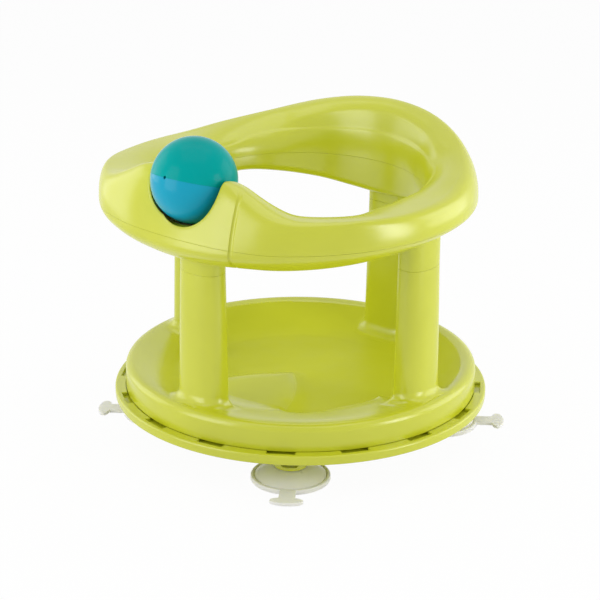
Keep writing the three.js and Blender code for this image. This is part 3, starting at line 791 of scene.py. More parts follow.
column = {
    "count": 4,
    "pitchRadius": 126.9,
    "width": 40.5,
    "footWidth": 46,
    "outerDepth": 13.8,
    "innerDepth": 9.6,
    "footGrowth": 1.6,
    "fillet": 9.5,
    "filletShares": (-0.2, *(np.linspace(0, 1, 11) ** 1.6)),  # rows up the fillet, the first one buried
    "shaftShares": (0.2, 0.4, 0.6, 0.8),
    "shoulderInset": 1.2,  # how far a hollow's shoulder lies lower, by shares of its wall
    "outerRoundness": 2.4,
    "innerRoundness": 4.5,
    "seat": 203.5,
    "collarBottom": 175,
    "collarTop": 209.4,
    "collarEdge": 3,  # height of the stretch that keeps its lower edge crisp
    "steps": 96,
}
screw = {
    "radius": 1.6,
    "headRadius": 3.4,
    "headHeight": 2.2,
    "length": 16,
    "bossRadius": 4.8,
    "pitch": 1.25,
    "threadDepth": 0.25,
    "threadFlanks": (0.55, 0.5),  # how far its root lies below and above a thread's crest
    "middle": 0.05,  # radius of the tiny flat on its axis
    "tipRadius": 0.75,  # the tip and the thread's start, by shares of the radius
    "tipLength": 1.4,
    "threadStart": 2,
    "threadEnd": 1.2,  # below the head
    "plainEnd": 0.3,
    "recessLength": 0.55,  # the cross recess and the pan head, by shares of the head's radius and height
    "recessWidth": 0.22,
    "recessFloor": 0.3,
    "panRim": 0.35,  # height of the straight side
    "panWidth": 0.98,
}
skinLow = tray["floorHeight"] - 0.1  # the tray's upper skin lies above this
trayBottom = baseFloor + fits["gap"]
columnTop = column["seat"] - fits["gap"]
quarterTurns = [k * math.pi / 2 for k in range(column["count"])]


# The dish without its raised front
def dishHeight(radius):
    share = (np.asarray(radius, float) - tray["floorRadius"]) / (tray["rimRadius"] - tray["floorRadius"])
    rise = tray["rimHeight"] - tray["floorHeight"]
    return tray["floorHeight"] + rise * readTable(dishSlopeShares, np.clip(share, 0, 1), 1)


# The dish and its rim as a profile, moved in by a wall for the hollow under them
def dishProfile(inset):
    floor, rim = tray["floorRadius"], tray["rimRadius"]
    slope = np.linspace(floor, rim, tray["slopeSteps"] + 1)
    profile = [(r, tray["floorHeight"] - inset) for r in tray["middles"]]
    profile += [(r, h - inset) for r, h in zip(slope, dishHeight(slope))]
    reach = tray["radius"] - rim - inset
    for t in np.radians(np.linspace(0, 90, tray["rimSteps"] + 1)[1:]):
        drop = tray["rimRounding"] * (1 - math.cos(t))
        profile.append((rim + reach * math.sin(t), tray["rimHeight"] - inset - drop))
    return profile


# Points closely spaced along a smooth line through a few given ones, which keeps its end points
def softened(points, rounds=2):
    line = np.array(points, float)
    for _ in range(rounds):
        near = 0.75 * line[:-1] + 0.25 * line[1:]
        far = 0.25 * line[:-1] + 0.75 * line[1:]
        middle = np.stack([near, far], 1).reshape(-1, 2)
        line = np.vstack([line[:1], middle[1:-1], line[-1:]])
    return line


# A whole outline from the points of its right half
def mirrored(shares):
    right = softened(shares)
    left = right[-2:0:-1] if shares[-1][0] == 0 else right[:0:-1]
    return np.vstack([right, left * (-1, 1)]) * tray["floorRadius"]


# How far each point lies outside an outline; less than nothing inside it
def outsideOf(outline, points):
    tiny, most = 1e-9, 2000  # most points are taken at a time, to spare memory
    edge = np.roll(outline, -1, 0) - outline
    length = np.maximum((edge**2).sum(1), tiny)
    rise = np.where(edge[:, 1] == 0, tiny, edge[:, 1])
    found = []
    for some in np.array_split(points, 1 + len(points) // most):
        apart = some[:, None] - outline
        along = np.clip((apart * edge).sum(2) / length, 0, 1)
        nearest = np.linalg.norm(apart - along[..., None] * edge, axis=2).min(1)
        spans = (apart[..., 1] < 0) != (apart[..., 1] < edge[:, 1])
        crossed = spans & (apart[..., 0] < edge[:, 0] * apart[..., 1] / rise)
        found.append(np.where(crossed.sum(1) % 2 == 1, -nearest, nearest))
    return np.concatenate(found)


# Rises from 0 to 1 with level ends
def eased(share):
    share = np.clip(share, 0, 1)
    return share**3 * (10 - 15 * share + 6 * share**2)


# The tray's upper surface: the dish, the raised front with its step down into the hollow, and the wedge
def trayHeight(points):
    points = np.asarray(points, float)
    radius = np.hypot(*points.T)
    dish = dishHeight(radius)
    offHollow = outsideOf(mirrored(hollowShares), points)
    inWedge = -outsideOf(mirrored(wedgeShares), points)
    climbed = np.clip(np.maximum(offHollow, inWedge) / front["bankWidth"], 0, 1)
    share = (radius - tray["floorRadius"]) / (tray["rimRadius"] - tray["floorRadius"])
    slope = readTable(frontSlopeShares, np.clip(share, 0, 1), 1)
    rise = tray["rimHeight"] - front["height"]
    top = front["height"] + front["bank"] * (1 - (1 - climbed) ** 2) * (1 - slope) + rise * slope
    side = front["wedgeSide"]
    step = eased(offHollow / front["step"] + 1)
    wedge = eased((inWedge + side - front["wedgeCrest"]) / side)
    return dish + (top - dish) * np.maximum(step, wedge)


# The height a column's foot rises from, which passes smoothly over the step
def footGround(points):
    steps = np.linspace(-1, 1, 7) * front["footBlend"]
    return np.mean([trayHeight(points + (0, step)) for step in steps], 0)


# Evenly spaced points at some distances outside an outline
def alongOutline(outline, reach, distances):
    kept = outline[np.hypot(*outline.T) < reach + trayMesh["lineMargin"]]
    steps = np.linalg.norm(np.diff(kept, axis=0), axis=1)
    along = np.concatenate([[0], np.cumsum(steps)])
    even = np.arange(0, along[-1], trayMesh["lineSpacing"])
    line = np.column_stack([np.interp(even, along, kept[:, k]) for k in (0, 1)])
    lead = np.gradient(line, axis=0)
    lead /= np.linalg.norm(lead, axis=1)[:, None]
    outward = np.column_stack([lead[:, 1], -lead[:, 0]])
    lines = []
    for distance in distances:
        for side in (-1, 1):
            moved = line + side * outward * distance
            off = np.abs(outsideOf(outline, moved) - distance)
            lines.append(moved[off < trayMesh["lineSlack"]])
    return lines


# Points over the tray: circles, close together on its slopes, and lines that follow the two outlines
def trayPoints(reach):
    points, end = [], reach - trayMesh["rimGap"]
    circles = [
        *np.arange(trayMesh["floorSpacing"], trayMesh["floorEnd"], trayMesh["floorSpacing"]),
        *np.arange(trayMesh["slopeStart"], end, trayMesh["slopeSpacing"]),
    ]
    for radius in circles:
        count = max(8, int(2 * math.pi * radius / trayMesh["pointSpacing"]))
        turns = np.linspace(0, 2 * math.pi, count, endpoint=False) + trayMesh["twist"] * radius
        points.append(np.column_stack([radius * np.cos(turns), radius * np.sin(turns)]))
    hollowLines = (*trayMesh["hollowInside"], *trayMesh["hollowOutside"])
    points += alongOutline(mirrored(hollowShares), reach, hollowLines)
    points += alongOutline(mirrored(wedgeShares), reach, trayMesh["wedgeLines"])
    points = np.vstack(points)
    return points[np.hypot(*points.T) < end]


# A column's D section: a rounded outer face, a flat inner face with small corners
def columnOutline(halfWidth, outerDepth, innerDepth):
    turns = np.linspace(0, 2 * math.pi, column["steps"], endpoint=False)
    across, out = np.cos(turns), np.sin(turns)
    power = 2 / np.where(out >= 0, column["outerRoundness"], column["innerRoundness"])
    depth = np.where(out >= 0, outerDepth, innerDepth)
    x = halfWidth * np.sign(across) * np.abs(across) ** power
    y = depth * np.sign(out) * np.abs(out) ** power
    return x, y


# A column turned to its place, or with an inset the hollow in it. Its lower rows follow the ground under
# them, and its upper ones lie at levels: a shoulder with a moulded edge, and a spigot for the collar
def makeColumn(inset, top, turn):
    spigot, edge = fits["wall"] + fits["gap"], fits["edge"]
    shoulder = column["collarBottom"] - fits["seam"] - column["shoulderInset"] * inset
    fillet, pitch = column["fillet"], column["pitchRadius"]
    height = column["collarBottom"] - fits["gap"] - float(dishHeight(pitch))

    def section(rise, shrink):
        cut = max(fillet - rise, 0)
        grow = fillet - math.sqrt(fillet**2 - cut**2) - inset - shrink
        taper = 1 - rise / height
        x, y = columnOutline(
            column["width"] / 2 + taper * (column["footWidth"] - column["width"]) / 2 + grow,
            column["outerDepth"] + taper * column["footGrowth"] + grow,
            column["innerDepth"] + grow,
        )
        radius = np.minimum(pitch + y, tray["rimRadius"])
        return np.column_stack([x, -radius]) @ np.array(Matrix.Rotation(-turn, 2))

    rises = [share * fillet for share in column["filletShares"]]
    rises += [fillet + share * (height - fillet) for share in column["shaftShares"]]
    feet = [section(max(rise, 0), 0) for rise in rises]
    if inset > 0:
        rises[0] -= tray["rimHeight"] - trayBottom
        grounds = [dishHeight(np.hypot(*foot.T)) for foot in feet]
        levels = [(0, shoulder)]
    else:
        grounds = footGround(np.vstack(feet)).reshape(len(feet), -1)
        grounds[0] = np.minimum(grounds[0], trayHeight(feet[0]))
        levels = [(0, shoulder - 2 * edge)]
        levels += rounding((edge, shoulder - edge), edge, 180, 90, fits["edgeSteps"])
    levels += [(spigot, shoulder), (spigot, top)]
    rings = [np.column_stack([foot, ground + rise]) for foot, ground, rise in zip(feet, grounds, rises)]
    rings += [atLevel(section(height, shrink), level) for shrink, level in levels]
    return loft("column", rings)


def columnBar(radius, low, high):
    return bar("bar", radius, low, high, 0, -column["pitchRadius"])


# The tray's skin: its triangulated upper surface, the rim, the lip that turns in the base, and a floor
def makeTraySkin():
    neck, out = tray["radius"] - tray["neck"], tray["radius"] + tray["lip"]
    skirt, soft = tray["skirtRounding"], tray["neckRounding"]
    low, lipTop = base["top"] - tray["skirtDip"], trayBottom + tray["lipThickness"]
    profile = [
        *dishProfile(0)[-tray["rimSteps"] - 1 :],
        *rounding((tray["radius"] - skirt, low + skirt), skirt, 0, -90, fits["edgeSteps"]),
        (neck, low),
        (neck, lipTop + soft),
        *rounding((neck + soft, lipTop + soft), soft, 180, 270, steps=4)[1:],
        *edgeAt(out, lipTop, 0)[::-1],
        *edgeAt(out, trayBottom, -90)[::-1],
        (tray["middles"][0], trayBottom),
    ]
    turns = np.linspace(0, 2 * math.pi, tray["steps"], endpoint=False)
    circle = np.column_stack([np.cos(turns), np.sin(turns)])
    flat = np.vstack([tray["rimRadius"] * circle, trayPoints(tray["rimRadius"])])
    count = len(circle)
    border = [(i, (i + 1) % count) for i in range(count)]
    spots, nearest = [Vector(p) for p in flat], 1e-5  # points no further apart than this are one
    made, _, triangles, *_ = geometry.delaunay_2d_cdt(spots, border, [], 1, nearest)
    made = np.array([tuple(p) for p in made])
    points = [np.column_stack([made, trayHeight(made)])]
    points += [atLevel(radius * circle, level) for radius, level in profile[1:]]
    faces = [list(face) for face in triangles]
    above = np.arange(count)
    for row in range(len(profile) - 1):
        below = len(made) + row * count + np.arange(count)
        quads = np.stack([above, below, np.roll(below, -1), np.roll(above, -1)], -1)
        faces += quads.tolist()
        above = below
    faces.append(above.tolist())
    return pointOutwards(makeObject("seatTray", np.vstack(points), faces))


def makeTray():
    wall, overrun = fits["wall"], fits["overrun"]
    outside = makeTraySkin()
    behind, low = tray["radius"] - tray["neck"] - wall, trayBottom - overrun
    room = [
        *dishProfile(wall),
        (tray["radius"] - wall, base["top"] + wall),
        (behind, base["top"] + wall),
        (behind, low),
        (tray["middles"][0], low),
    ]
    inside = turned("inside", room, tray["steps"])
    near = base["railRadius"] + wall / 2 + fits["running"]
    far, top = near + wall, float(dishHeight(near)) - wall / 2
    section = [(near, trayBottom), (far, trayBottom), (far, top), (near, top)]
    guide = turned("guide", section, tray["steps"], closed=True)
    count = column["count"]
    skins = [makeColumn(0, columnTop, turn) for turn in quarterTurns]
    hollows = [makeColumn(wall, columnTop - wall, turn) for turn in quarterTurns]
    bossLow, pilotRadius = columnTop - screw["length"], screw["radius"] + fits["gap"]
    bosses = repeated(columnBar(screw["bossRadius"], bossLow, columnTop - wall / 2), "bosses", count)
    pilots = repeated(columnBar(pilotRadius, bossLow + wall, columnTop + overrun), "pilots", count)
    combine(outside, "UNION", *skins)
    combine(outside, "DIFFERENCE", inside, *hollows)
    combine(outside, "UNION", guide, bosses)
    return combine(outside, "DIFFERENCE", pilots)


grip = {
    "flatness": 0.8,  # how far up a face points at least that takes the finish
    "belowRim": 2,
    "insideRim": 4,
}


# The tray's faces in the hollow, which take the gripping finish
def gripFaces(piece):
    faces = piece.data.polygons
    middles = np.array([face.center / mm for face in faces])
    flat = np.array([face.normal.z > grip["flatness"] for face in faces])
    low = (middles[:, 2] > skinLow) & (middles[:, 2] < tray["rimHeight"] - grip["belowRim"])
    inner = np.hypot(middles[:, 0], middles[:, 1]) < tray["rimRadius"] - grip["insideRim"]
    inHollow = outsideOf(mirrored(hollowShares), middles[:, :2]) < 0
    return flat & low & inner & inHollow


# The wedge is worn to a polish, which fades out on its sides
def polishWedge(piece):
    places = np.array([vertex.co / mm for vertex in piece.data.vertices])
    inWedge = -outsideOf(mirrored(wedgeShares), places[:, :2])
    worn = eased(inWedge / front["polishFade"] + 1) * (places[:, 2] > skinLow)
    polish = piece.data.attributes.new("polish", "FLOAT", "POINT")
    polish.data.foreach_set("value", worn.astype(np.float32))


seatTray = finishSurface(makeTray())
polishWedge(seatTray)
grips = gripFaces(seatTray)
swung(seatTray, rest["seatTurn"])
dress(seatTray, "seatTray", "seat", limePlastic, ["seat_tray"])
seatTray.data.materials.append(limeGrip)
seatTray.data.polygons.foreach_set("material_index", grips.astype(np.int32))
print("seat tray made:", len(seatTray.data.polygons), "faces")

# Trunk ring: one closed tube of changing section, parted into two hollow shells
ring = {
    "opening": 104.5,
    "radius": 161.8,
    "forward": 18,
    "flat": 11,
    "lowest": 186,
    "height": 84.5,
    "outerParting": 213.6,
    "innerParting": 217.5,
    "partingRadius": 118,
    "edgeWidth": 7.5,
    "footRounding": 6,
    "hold": 20,
    "grooveAngle": math.radians(20.9),
    "grooveLean": math.radians(1.0),
    "grooveWidth": 4.4,
    "grooveDepth": 1.0,
    "groovePower": 0.7,  # under 1 for a rounder floor
    "grooveFade": 1.5,  # how far its lean reaches, by shares of its angle
    "pommelTop": 262,
    "faceLean": 0.15,  # of the flattened outer face
    "smoothing": 2.5,  # degrees over which the sizes are blended
    "creaseDepth": 0.8,
    "creaseWidth": 2.4,
    "creaseFade": 16,
}
# Height of the crease across the backrest, by share of the half turn, and how much of it shows
creaseShares = [(0.46, 0.49, 0), (0.58, 0.51, 1), (0.65, 0.575, 1), (0.8, 0.64, 1), (1, 0.68, 1)]
# By share of the half turn from the front: the crest's place across the ring's width, the heights of the
# crest, the inner edge, the belly and the underside, and how far the outer face is flattened
ringShares = [
    (0, 0.566, 0.899, 0.592, 0.26, 0.041, 1),
    (0.05, 0.59, 0.899, 0.592, 0.26, 0.047, 0.9),
    (0.094, 0.63, 0.899, 0.592, 0.27, 0.065, 0.6),
    (0.139, 0.696, 0.793, 0.509, 0.296, 0.077, 0.36),
    (0.172, 0.73, 0.704, 0.462, 0.331, 0.08, 0.05),
    (0.211, 0.86, 0.633, 0.426, 0.355, 0.086, 0),
    (0.3, 0.91, 0.621, 0.414, 0.367, 0.116, 0),
    (0.406, 0.84, 0.597, 0.497, 0.367, 0.172, 0),
    (0.511, 0.744, 0.604, 0.538, 0.367, 0.207, 0),
    (0.611, 0.689, 0.669, 0.556, 0.367, 0.207, 0),
    (0.717, 0.68, 0.769, 0.598, 0.367, 0.16, 0),
    (0.767, 0.665, 0.834, 0.704, 0.367, 0.13, 0),
    (0.833, 0.635, 0.911, 0.769, 0.367, 0.089, 0),
    (0.917, 0.6, 0.976, 0.84, 0.367, 0.03, 0),
    (1, 0.572, 1, 0.864, 0.367, 0, 0),
]
# How far the section's curves reach, by shares of the sizes that they lie along
handles = {
    "held": 0.75,  # of the drop from crest to belly, at most
    "sideLean": 0.5,
    "sideBelow": 0.45,
    "sideUnder": 0.24,
    "under": 0.4,
    "wall": 1.3,
    "toeAcross": 0.4,
    "toeUp": 0.5,
    "beforeBrow": 0.3,
    "afterBrow": 0.35,
    "overPeak": 0.6,
    "beforePeak": 0.4,
}
ringMesh = {
    "curvePoints": 48,
    "bendWeight": 14,  # how much closer the places stand where the section bends
    "bendLimit": 0.2,
    "bendBlend": 6,  # points on each side over which that is blended
    "partingOffsets": (0, 0.08, 0.3, 0.6, 1.0, 1.8),  # by shares of the edge's rounding
    "skinCounts": (54, 54, 60),  # from the crest to the outer parting, on to the inner one, and back
    "hollowCounts": (20, 30, 12),
    "hollowSteps": 180,
    "frontStart": -22,  # degrees, between which the skin's sections stand closer
    "frontEnd": 26,
    "frontStep": 0.25,
    "grooveReach": 0.85,  # within which they are spaced for the groove
    "grooveSteps": np.linspace(-0.8, 0.8, 17),
}
roller = {
    "radius": 35.6,
    "wall": 2.4,
    "seam": 0.04,
    "edge": 0.1,
    "forward": 136,
    "height": 254,
    "clearance": 1.9,
    "scoop": (8, -136, 244),  # middle of the second ball that widens the pocket below and to the right
    "scoopRadius": 35,
    "scoopFloor": 221,
    "axleRadius": 2,
    "axleReach": 46,
    "axleChamfer": 0.4,
    "bossRadius": 5,
    "drainRadius": 1.3,
    "poleTurn": math.radians(88.5),  # where the round of a half ends, under its cap
    "capRadius": 2.2,
    "capLow": 0.955,  # by shares of the radius
    "capTop": 0.9993,
    "skinRows": 44,
    "insideRows": 30,
    "steps": 64,
    "fillSteps": 40,
    "pocketSteps": 80,
    "rimRounding": 2.2,  # of the pocket's edge
    "rimOverlap": 0.3,
    "rimFall": 3.5,  # how far the skin falls inside the pocket at most
}
ballPlace = Vector((0, -roller["forward"], roller["height"]))
pocketRadius = roller["radius"] + roller["clearance"]


# The ring's sizes at some angles, blended a little so that reflections flow along it
def ringSizes(angles):
    count = 720
    grid = np.linspace(-math.pi, math.pi, count, endpoint=False)
    shares = np.abs(grid) / math.pi
    steps = np.arange(-20, 21)  # as far as the blending reaches
    weights = np.exp(-0.5 * (steps * 360 / count / ring["smoothing"]) ** 2)
    weights /= weights.sum()

    def blended(k):
        values = readTable(ringShares, shares, k)
        values = sum(weight * np.roll(values, step) for weight, step in zip(weights, steps))
        return np.interp(angles, [*grid, math.pi], [*values, values[0]])

    across = ring["forward"] * np.sin(angles)
    flatness = blended(6)
    outer = ring["forward"] * np.cos(angles) + np.sqrt(ring["radius"] ** 2 - across**2)
    outer -= ring["flat"] * flatness
    width = outer - ring["opening"]
    crest = ring["opening"] + width * blended(1)
    heights = [ring["lowest"] + ring["height"] * blended(k) for k in (2, 3, 4, 5)]
    return np.column_stack([outer, width, crest, *heights, ring["faceLean"] * flatness])


# A curve between two points with a handle for each, without its last point
def bezier(a, b, c, d, count):
    t = np.linspace(0, 1, count, endpoint=False)[:, None]
    return (1 - t) ** 3 * a + 3 * (1 - t) ** 2 * t * b + 3 * (1 - t) * t * t * c + t**3 * d


# One section, closely divided, and how deep the groove may be at each point
def ringSection(sizes):
    outer, width, crest, top, edge, belly, bottom, lean = sizes
    opening, foot, count = ring["opening"], ring["footRounding"], ringMesh["curvePoints"]
    peak, side = np.array([crest, top]), np.array([outer, belly])
    held = min(ring["hold"], handles["held"] * (top - belly))
    overSide = np.array([outer - handles["sideLean"] * lean * (outer - crest), belly + held])
    underSide = side - (overSide - side) * (handles["sideBelow"] * (belly - bottom) / held)
    under = np.array([outer - handles["under"] * width, bottom])
    afterSide = np.array([outer - handles["sideUnder"] * width, bottom])
    toe = np.array([opening + foot, bottom])
    afterToe = np.array([opening + handles["toeAcross"] * foot, bottom])
    wall = np.array([opening, bottom + handles["wall"] * foot])
    beforeWall = np.array([opening, bottom + handles["toeUp"] * foot])
    afterWall = np.array([opening, (wall[1] + edge) / 2])
    brow = np.array([opening + ring["edgeWidth"], edge])
    slope = (peak - wall) / np.linalg.norm(peak - wall)
    beforeBrow = brow - handles["beforeBrow"] * np.linalg.norm(brow - wall) * slope
    afterBrow = brow + handles["afterBrow"] * np.linalg.norm(brow - peak) * slope
    beforePeak = np.array([crest - handles["beforePeak"] * (crest - brow[0]), top])
    overPeak = np.array([crest + (handles["overPeak"] - 2 * lean) * (outer - crest), top])
    curves = [
        bezier(peak, overPeak, overSide, side, count),
        bezier(side, underSide, afterSide, under, count),
        under + (toe - under) * np.linspace(0, 1, count // 3, endpoint=False)[:, None],
        bezier(toe, afterToe, beforeWall, wall, count // 2),
        bezier(wall, afterWall, beforeBrow, brow, count),
        bezier(brow, afterBrow, beforePeak, peak, count),
    ]
    points = np.vstack(curves)
    deep = np.zeros(len(points))
    deep[:count] = np.clip(2 * np.linspace(0, 1, count, endpoint=False), 0, 1)
    deep[count : 2 * count] = np.clip(5 * np.linspace(1, 0, count, endpoint=False), 0, 1)
    return points, deep


# Where a section crosses a level between two of its points, as a length along it
def crossing(closed, along, level, falling, low, high):
    for i in range(low, high):
        a, b = closed[i, 1] - level, closed[i + 1, 1] - level
        if (a >= 0 > b) if falling else (a <= 0 < b):
            return along[i] + np.linalg.norm(closed[i + 1] - closed[i]) * a / (a - b)
    raise ValueError("the parting does not cross the section")


# Places round one section, close where it bends and at the two partings: their points, directions, how
# deep the groove may be, how far a parting's edge stands back, and whether they are on the inner wall
def spacedSection(points, deep, counts):
    closed = np.vstack([points, points[:1]])
    steps = np.linalg.norm(np.diff(closed, axis=0), axis=1)
    along = np.concatenate([[0], np.cumsum(steps)])
    tangent = np.roll(points, -1, 0) - np.roll(points, 1, 0)
    tangent /= np.linalg.norm(tangent, axis=1)[:, None]
    turn = np.unwrap(np.arctan2(tangent[:, 1], tangent[:, 0]))
    bend = np.clip(np.abs(np.gradient(turn, along[:-1])), 0, ringMesh["bendLimit"])
    density, blend = 1 + ringMesh["bendWeight"] * bend, ringMesh["bendBlend"]
    around = np.concatenate([density[-blend:], density, density[:blend]])
    density = np.convolve(around, np.ones(2 * blend + 1) / (2 * blend + 1), "valid")
    weight = np.concatenate([[0], np.cumsum(0.5 * (density + np.roll(density, -1)) * steps)])

    half = len(points) // 2
    outerCut = crossing(closed, along, ring["outerParting"], True, 0, half)
    innerCut = crossing(closed, along, ring["innerParting"], False, half, len(points))
    edge, gap = fits["edge"], fits["seam"] / 2
    offsets = gap + edge * np.array(ringMesh["partingOffsets"])
    band = np.concatenate([-offsets[::-1], offsets])
    reach = offsets[-1]

    def between(start, end, count):
        marks = np.interp([start, end], along, weight)
        return np.interp(np.linspace(*marks, count + 2)[1:-1], weight, along)

    stretches = [
        [0],
        between(0, outerCut - reach, counts[0]),
        outerCut + band,
        between(outerCut + reach, innerCut - reach, counts[1]),
        innerCut + band,
        between(innerCut + reach, along[-1], counts[2]),
    ]
    places = np.concatenate(stretches)
    back = np.clip(edge - (np.abs(band) - gap), 0, edge)
    inEdge = np.zeros(len(places))
    first = 1 + counts[0]
    second = first + len(band) + counts[1]
    for start in (first, second):
        inEdge[start : start + len(band)] = edge - np.sqrt(np.maximum(edge**2 - back**2, 0))

    def spread(values):
        return np.interp(places, along, [*values, values[0]])

    spot = np.column_stack([np.interp(places, along, closed[:, k]) for k in (0, 1)])
    lead = np.column_stack([spread(tangent[:, k]) for k in (0, 1)])
    lead /= np.linalg.norm(lead, axis=1)[:, None]
    onWall = np.arange(len(places)) >= second + len(band)
    return spot, lead, spread(deep), inEdge, onWall


# Where the ring's sections stand: close at the front and closest at the groove, if fine
def ringAngles(fine):
    if not fine:
        return np.linspace(-math.pi, math.pi, ringMesh["hollowSteps"], endpoint=False)
    start, end = ringMesh["frontStart"], ringMesh["frontEnd"]
    close = np.arange(start, end, ringMesh["frontStep"])
    groove = math.degrees(ring["grooveAngle"])
    close = close[np.abs(close - groove) > ringMesh["grooveReach"]]
    away = np.arange(end, start + 360, 1.0)
    away = np.where(away > 180, away - 360, away)
    return np.radians(np.sort(np.concatenate([close, groove + ringMesh["grooveSteps"], away])))


# The ring's skin with its groove, crease and moulded edges if fine, and otherwise the hollow inside it
def makeRingTube(name, inset, fine):
    angles = ringAngles(fine)
    counts = ringMesh["skinCounts"] if fine else ringMesh["hollowCounts"]
    groove, parting = ring["grooveAngle"], ring["outerParting"]
    halfGroove = ring["grooveWidth"] / 2 / (ring["radius"] + ring["forward"])
    rings = []
    for angle, sizes in zip(angles, ringSizes(angles)):
        spot, lead, deep, inEdge, onWall = spacedSection(*ringSection(sizes), counts)
        inward = np.column_stack([lead[:, 1], -lead[:, 0]])
        shift = np.full(len(spot), float(inset))
        if fine:
            near = min(1, abs(angle - groove) / halfGroove)
            shift = ring["grooveDepth"] * deep * math.cos(near * math.pi / 2) ** ring["groovePower"]
            shift += inEdge + onWall * creaseAt(abs(angle) / math.pi, spot[:, 1])
        radius, height = (spot + inward * shift[:, None]).T
        close = max(0, 1 - abs(angle - groove) / (ring["grooveFade"] * groove))
        turn = angle + ring["grooveLean"] * close * (height - parting) / (ring["pommelTop"] - parting)
        sine, cosine = np.sin(turn), np.cos(turn)
        outward = np.column_stack([-inward[:, 0] * sine, inward[:, 0] * cosine, -inward[:, 1]])
        points = np.column_stack([radius * sine, -radius * cosine, height])
        rings.append(roundPocketRim(points, outward) if fine else points)
    return loft(name, rings, closed=True)


# How far the wall stands back above the crease: at once, and less and less towards the crest
def creaseAt(share, height):
    place = np.array([max(share, creaseShares[0][0])])
    level, shown = (readTable(creaseShares, place, k)[0] for k in (1, 2))
    over = height - ring["lowest"] - ring["height"] * level
    step = np.clip(over / ring["creaseWidth"] + 0.5, 0, 1)
    fade = np.clip(1 - over / ring["creaseFade"], 0, 1)
    return ring["creaseDepth"] * shown * step**2 * (3 - 2 * step) * fade**2 * (3 - 2 * fade)


# Lets the skin fall in a little round the ball's pocket, so that the pocket's edge is rounded
def roundPocketRim(points, outward):
    soft, overlap = roller["rimRounding"], roller["rimOverlap"]
    fromPocket = np.linalg.norm(points - np.array(ballPlace), axis=1) - pocketRadius
    fromScoop = np.linalg.norm(points - np.array(roller["scoop"]), axis=1) - roller["scoopRadius"]
    away = np.minimum(fromPocket, fromScoop) + overlap
    bend = np.clip(soft - np.maximum(away, overlap), 0, soft)
    fall = soft - np.sqrt(soft**2 - bend**2)
    steep = (soft - overlap) / math.sqrt(soft**2 - (soft - overlap) ** 2)
    fall += np.clip(steep * (overlap - away), 0, roller["rimFall"])
    return points - outward * fall[:, None]


# Everything above the parting, which lies higher on the inside of the ring
def overParting(gap):
    reach = ring["radius"] + ring["forward"] + fits["overrun"]
    top = ring["lowest"] + ring["height"] + fits["overrun"]
    whole = block("over", (-reach, -reach, ring["outerParting"] + gap), (reach, reach, top))
    core = bar("core", ring["partingRadius"], ring["lowest"], ring["innerParting"] + gap, steps=240)
    return combine(whole, "DIFFERENCE", core)


def atBall(piece):
    return shifted(piece, ballPlace)


def crossBar(radius, length):
    return atBall(swung(bar("crossBar", radius, -length / 2, length / 2), math.pi / 2, "Y"))


# The part of the second ball that widens the pocket, larger by a wall where that is filled round it
def makeScoop(wall):
    radius, low = roller["scoopRadius"] + wall, roller["scoopFloor"] - wall
    x, y, z = roller["scoop"]
    reach = 2 * radius
    scoop = shifted(ballShape("scoop", radius, roller["pocketSteps"]), roller["scoop"])
    above = block("above", (x - reach, y - reach, low), (x + reach, y + reach, z + reach))
    return combine(scoop, "INTERSECT", above)


# Places for the screws that hold the shells together, as shares of a turn and of the ring's width
shellScrewShares = [(0.115, 0.55), (0.18, 0.5), (0.33, 0.5), (0.41, 0.55)]


def shellScrewPlaces():
    places = []
    for side in (-1, 1):
        for turn, across in shellScrewShares:
            angle = side * turn * 2 * math.pi
            radius = ring["opening"] + across * ringSizes(np.array([angle]))[0, 1]
            places.append((radius * math.sin(angle), -radius * math.cos(angle)))
    return places


def barsAt(places, radius, low, high):
    bars = makeObject("bars", [(x, y, 0) for x, y in places], [])
    one = bar("one", radius, low, high)
    runTree(bars, pointsTree, Piece=one)
    bpy.data.objects.remove(one)
    return bars


# A collar under the ring that carries on a column's outline
def makeCollar(inset, low, high):
    edge = fits["edge"]
    levels = [(0, low)] if inset else rounding((edge, low + edge), edge, 270, 180, fits["edgeSteps"])
    levels += [(0, low + column["collarEdge"]), (0, high)]
    rings = []
    for shrink, level in levels:
        sizes = (column["width"] / 2, column["outerDepth"], column["innerDepth"])
        x, y = columnOutline(*[size - inset - shrink for size in sizes])
        rings.append(atLevel(np.column_stack([x, -column["pitchRadius"] - y]), level))
    return loft("collar", rings)


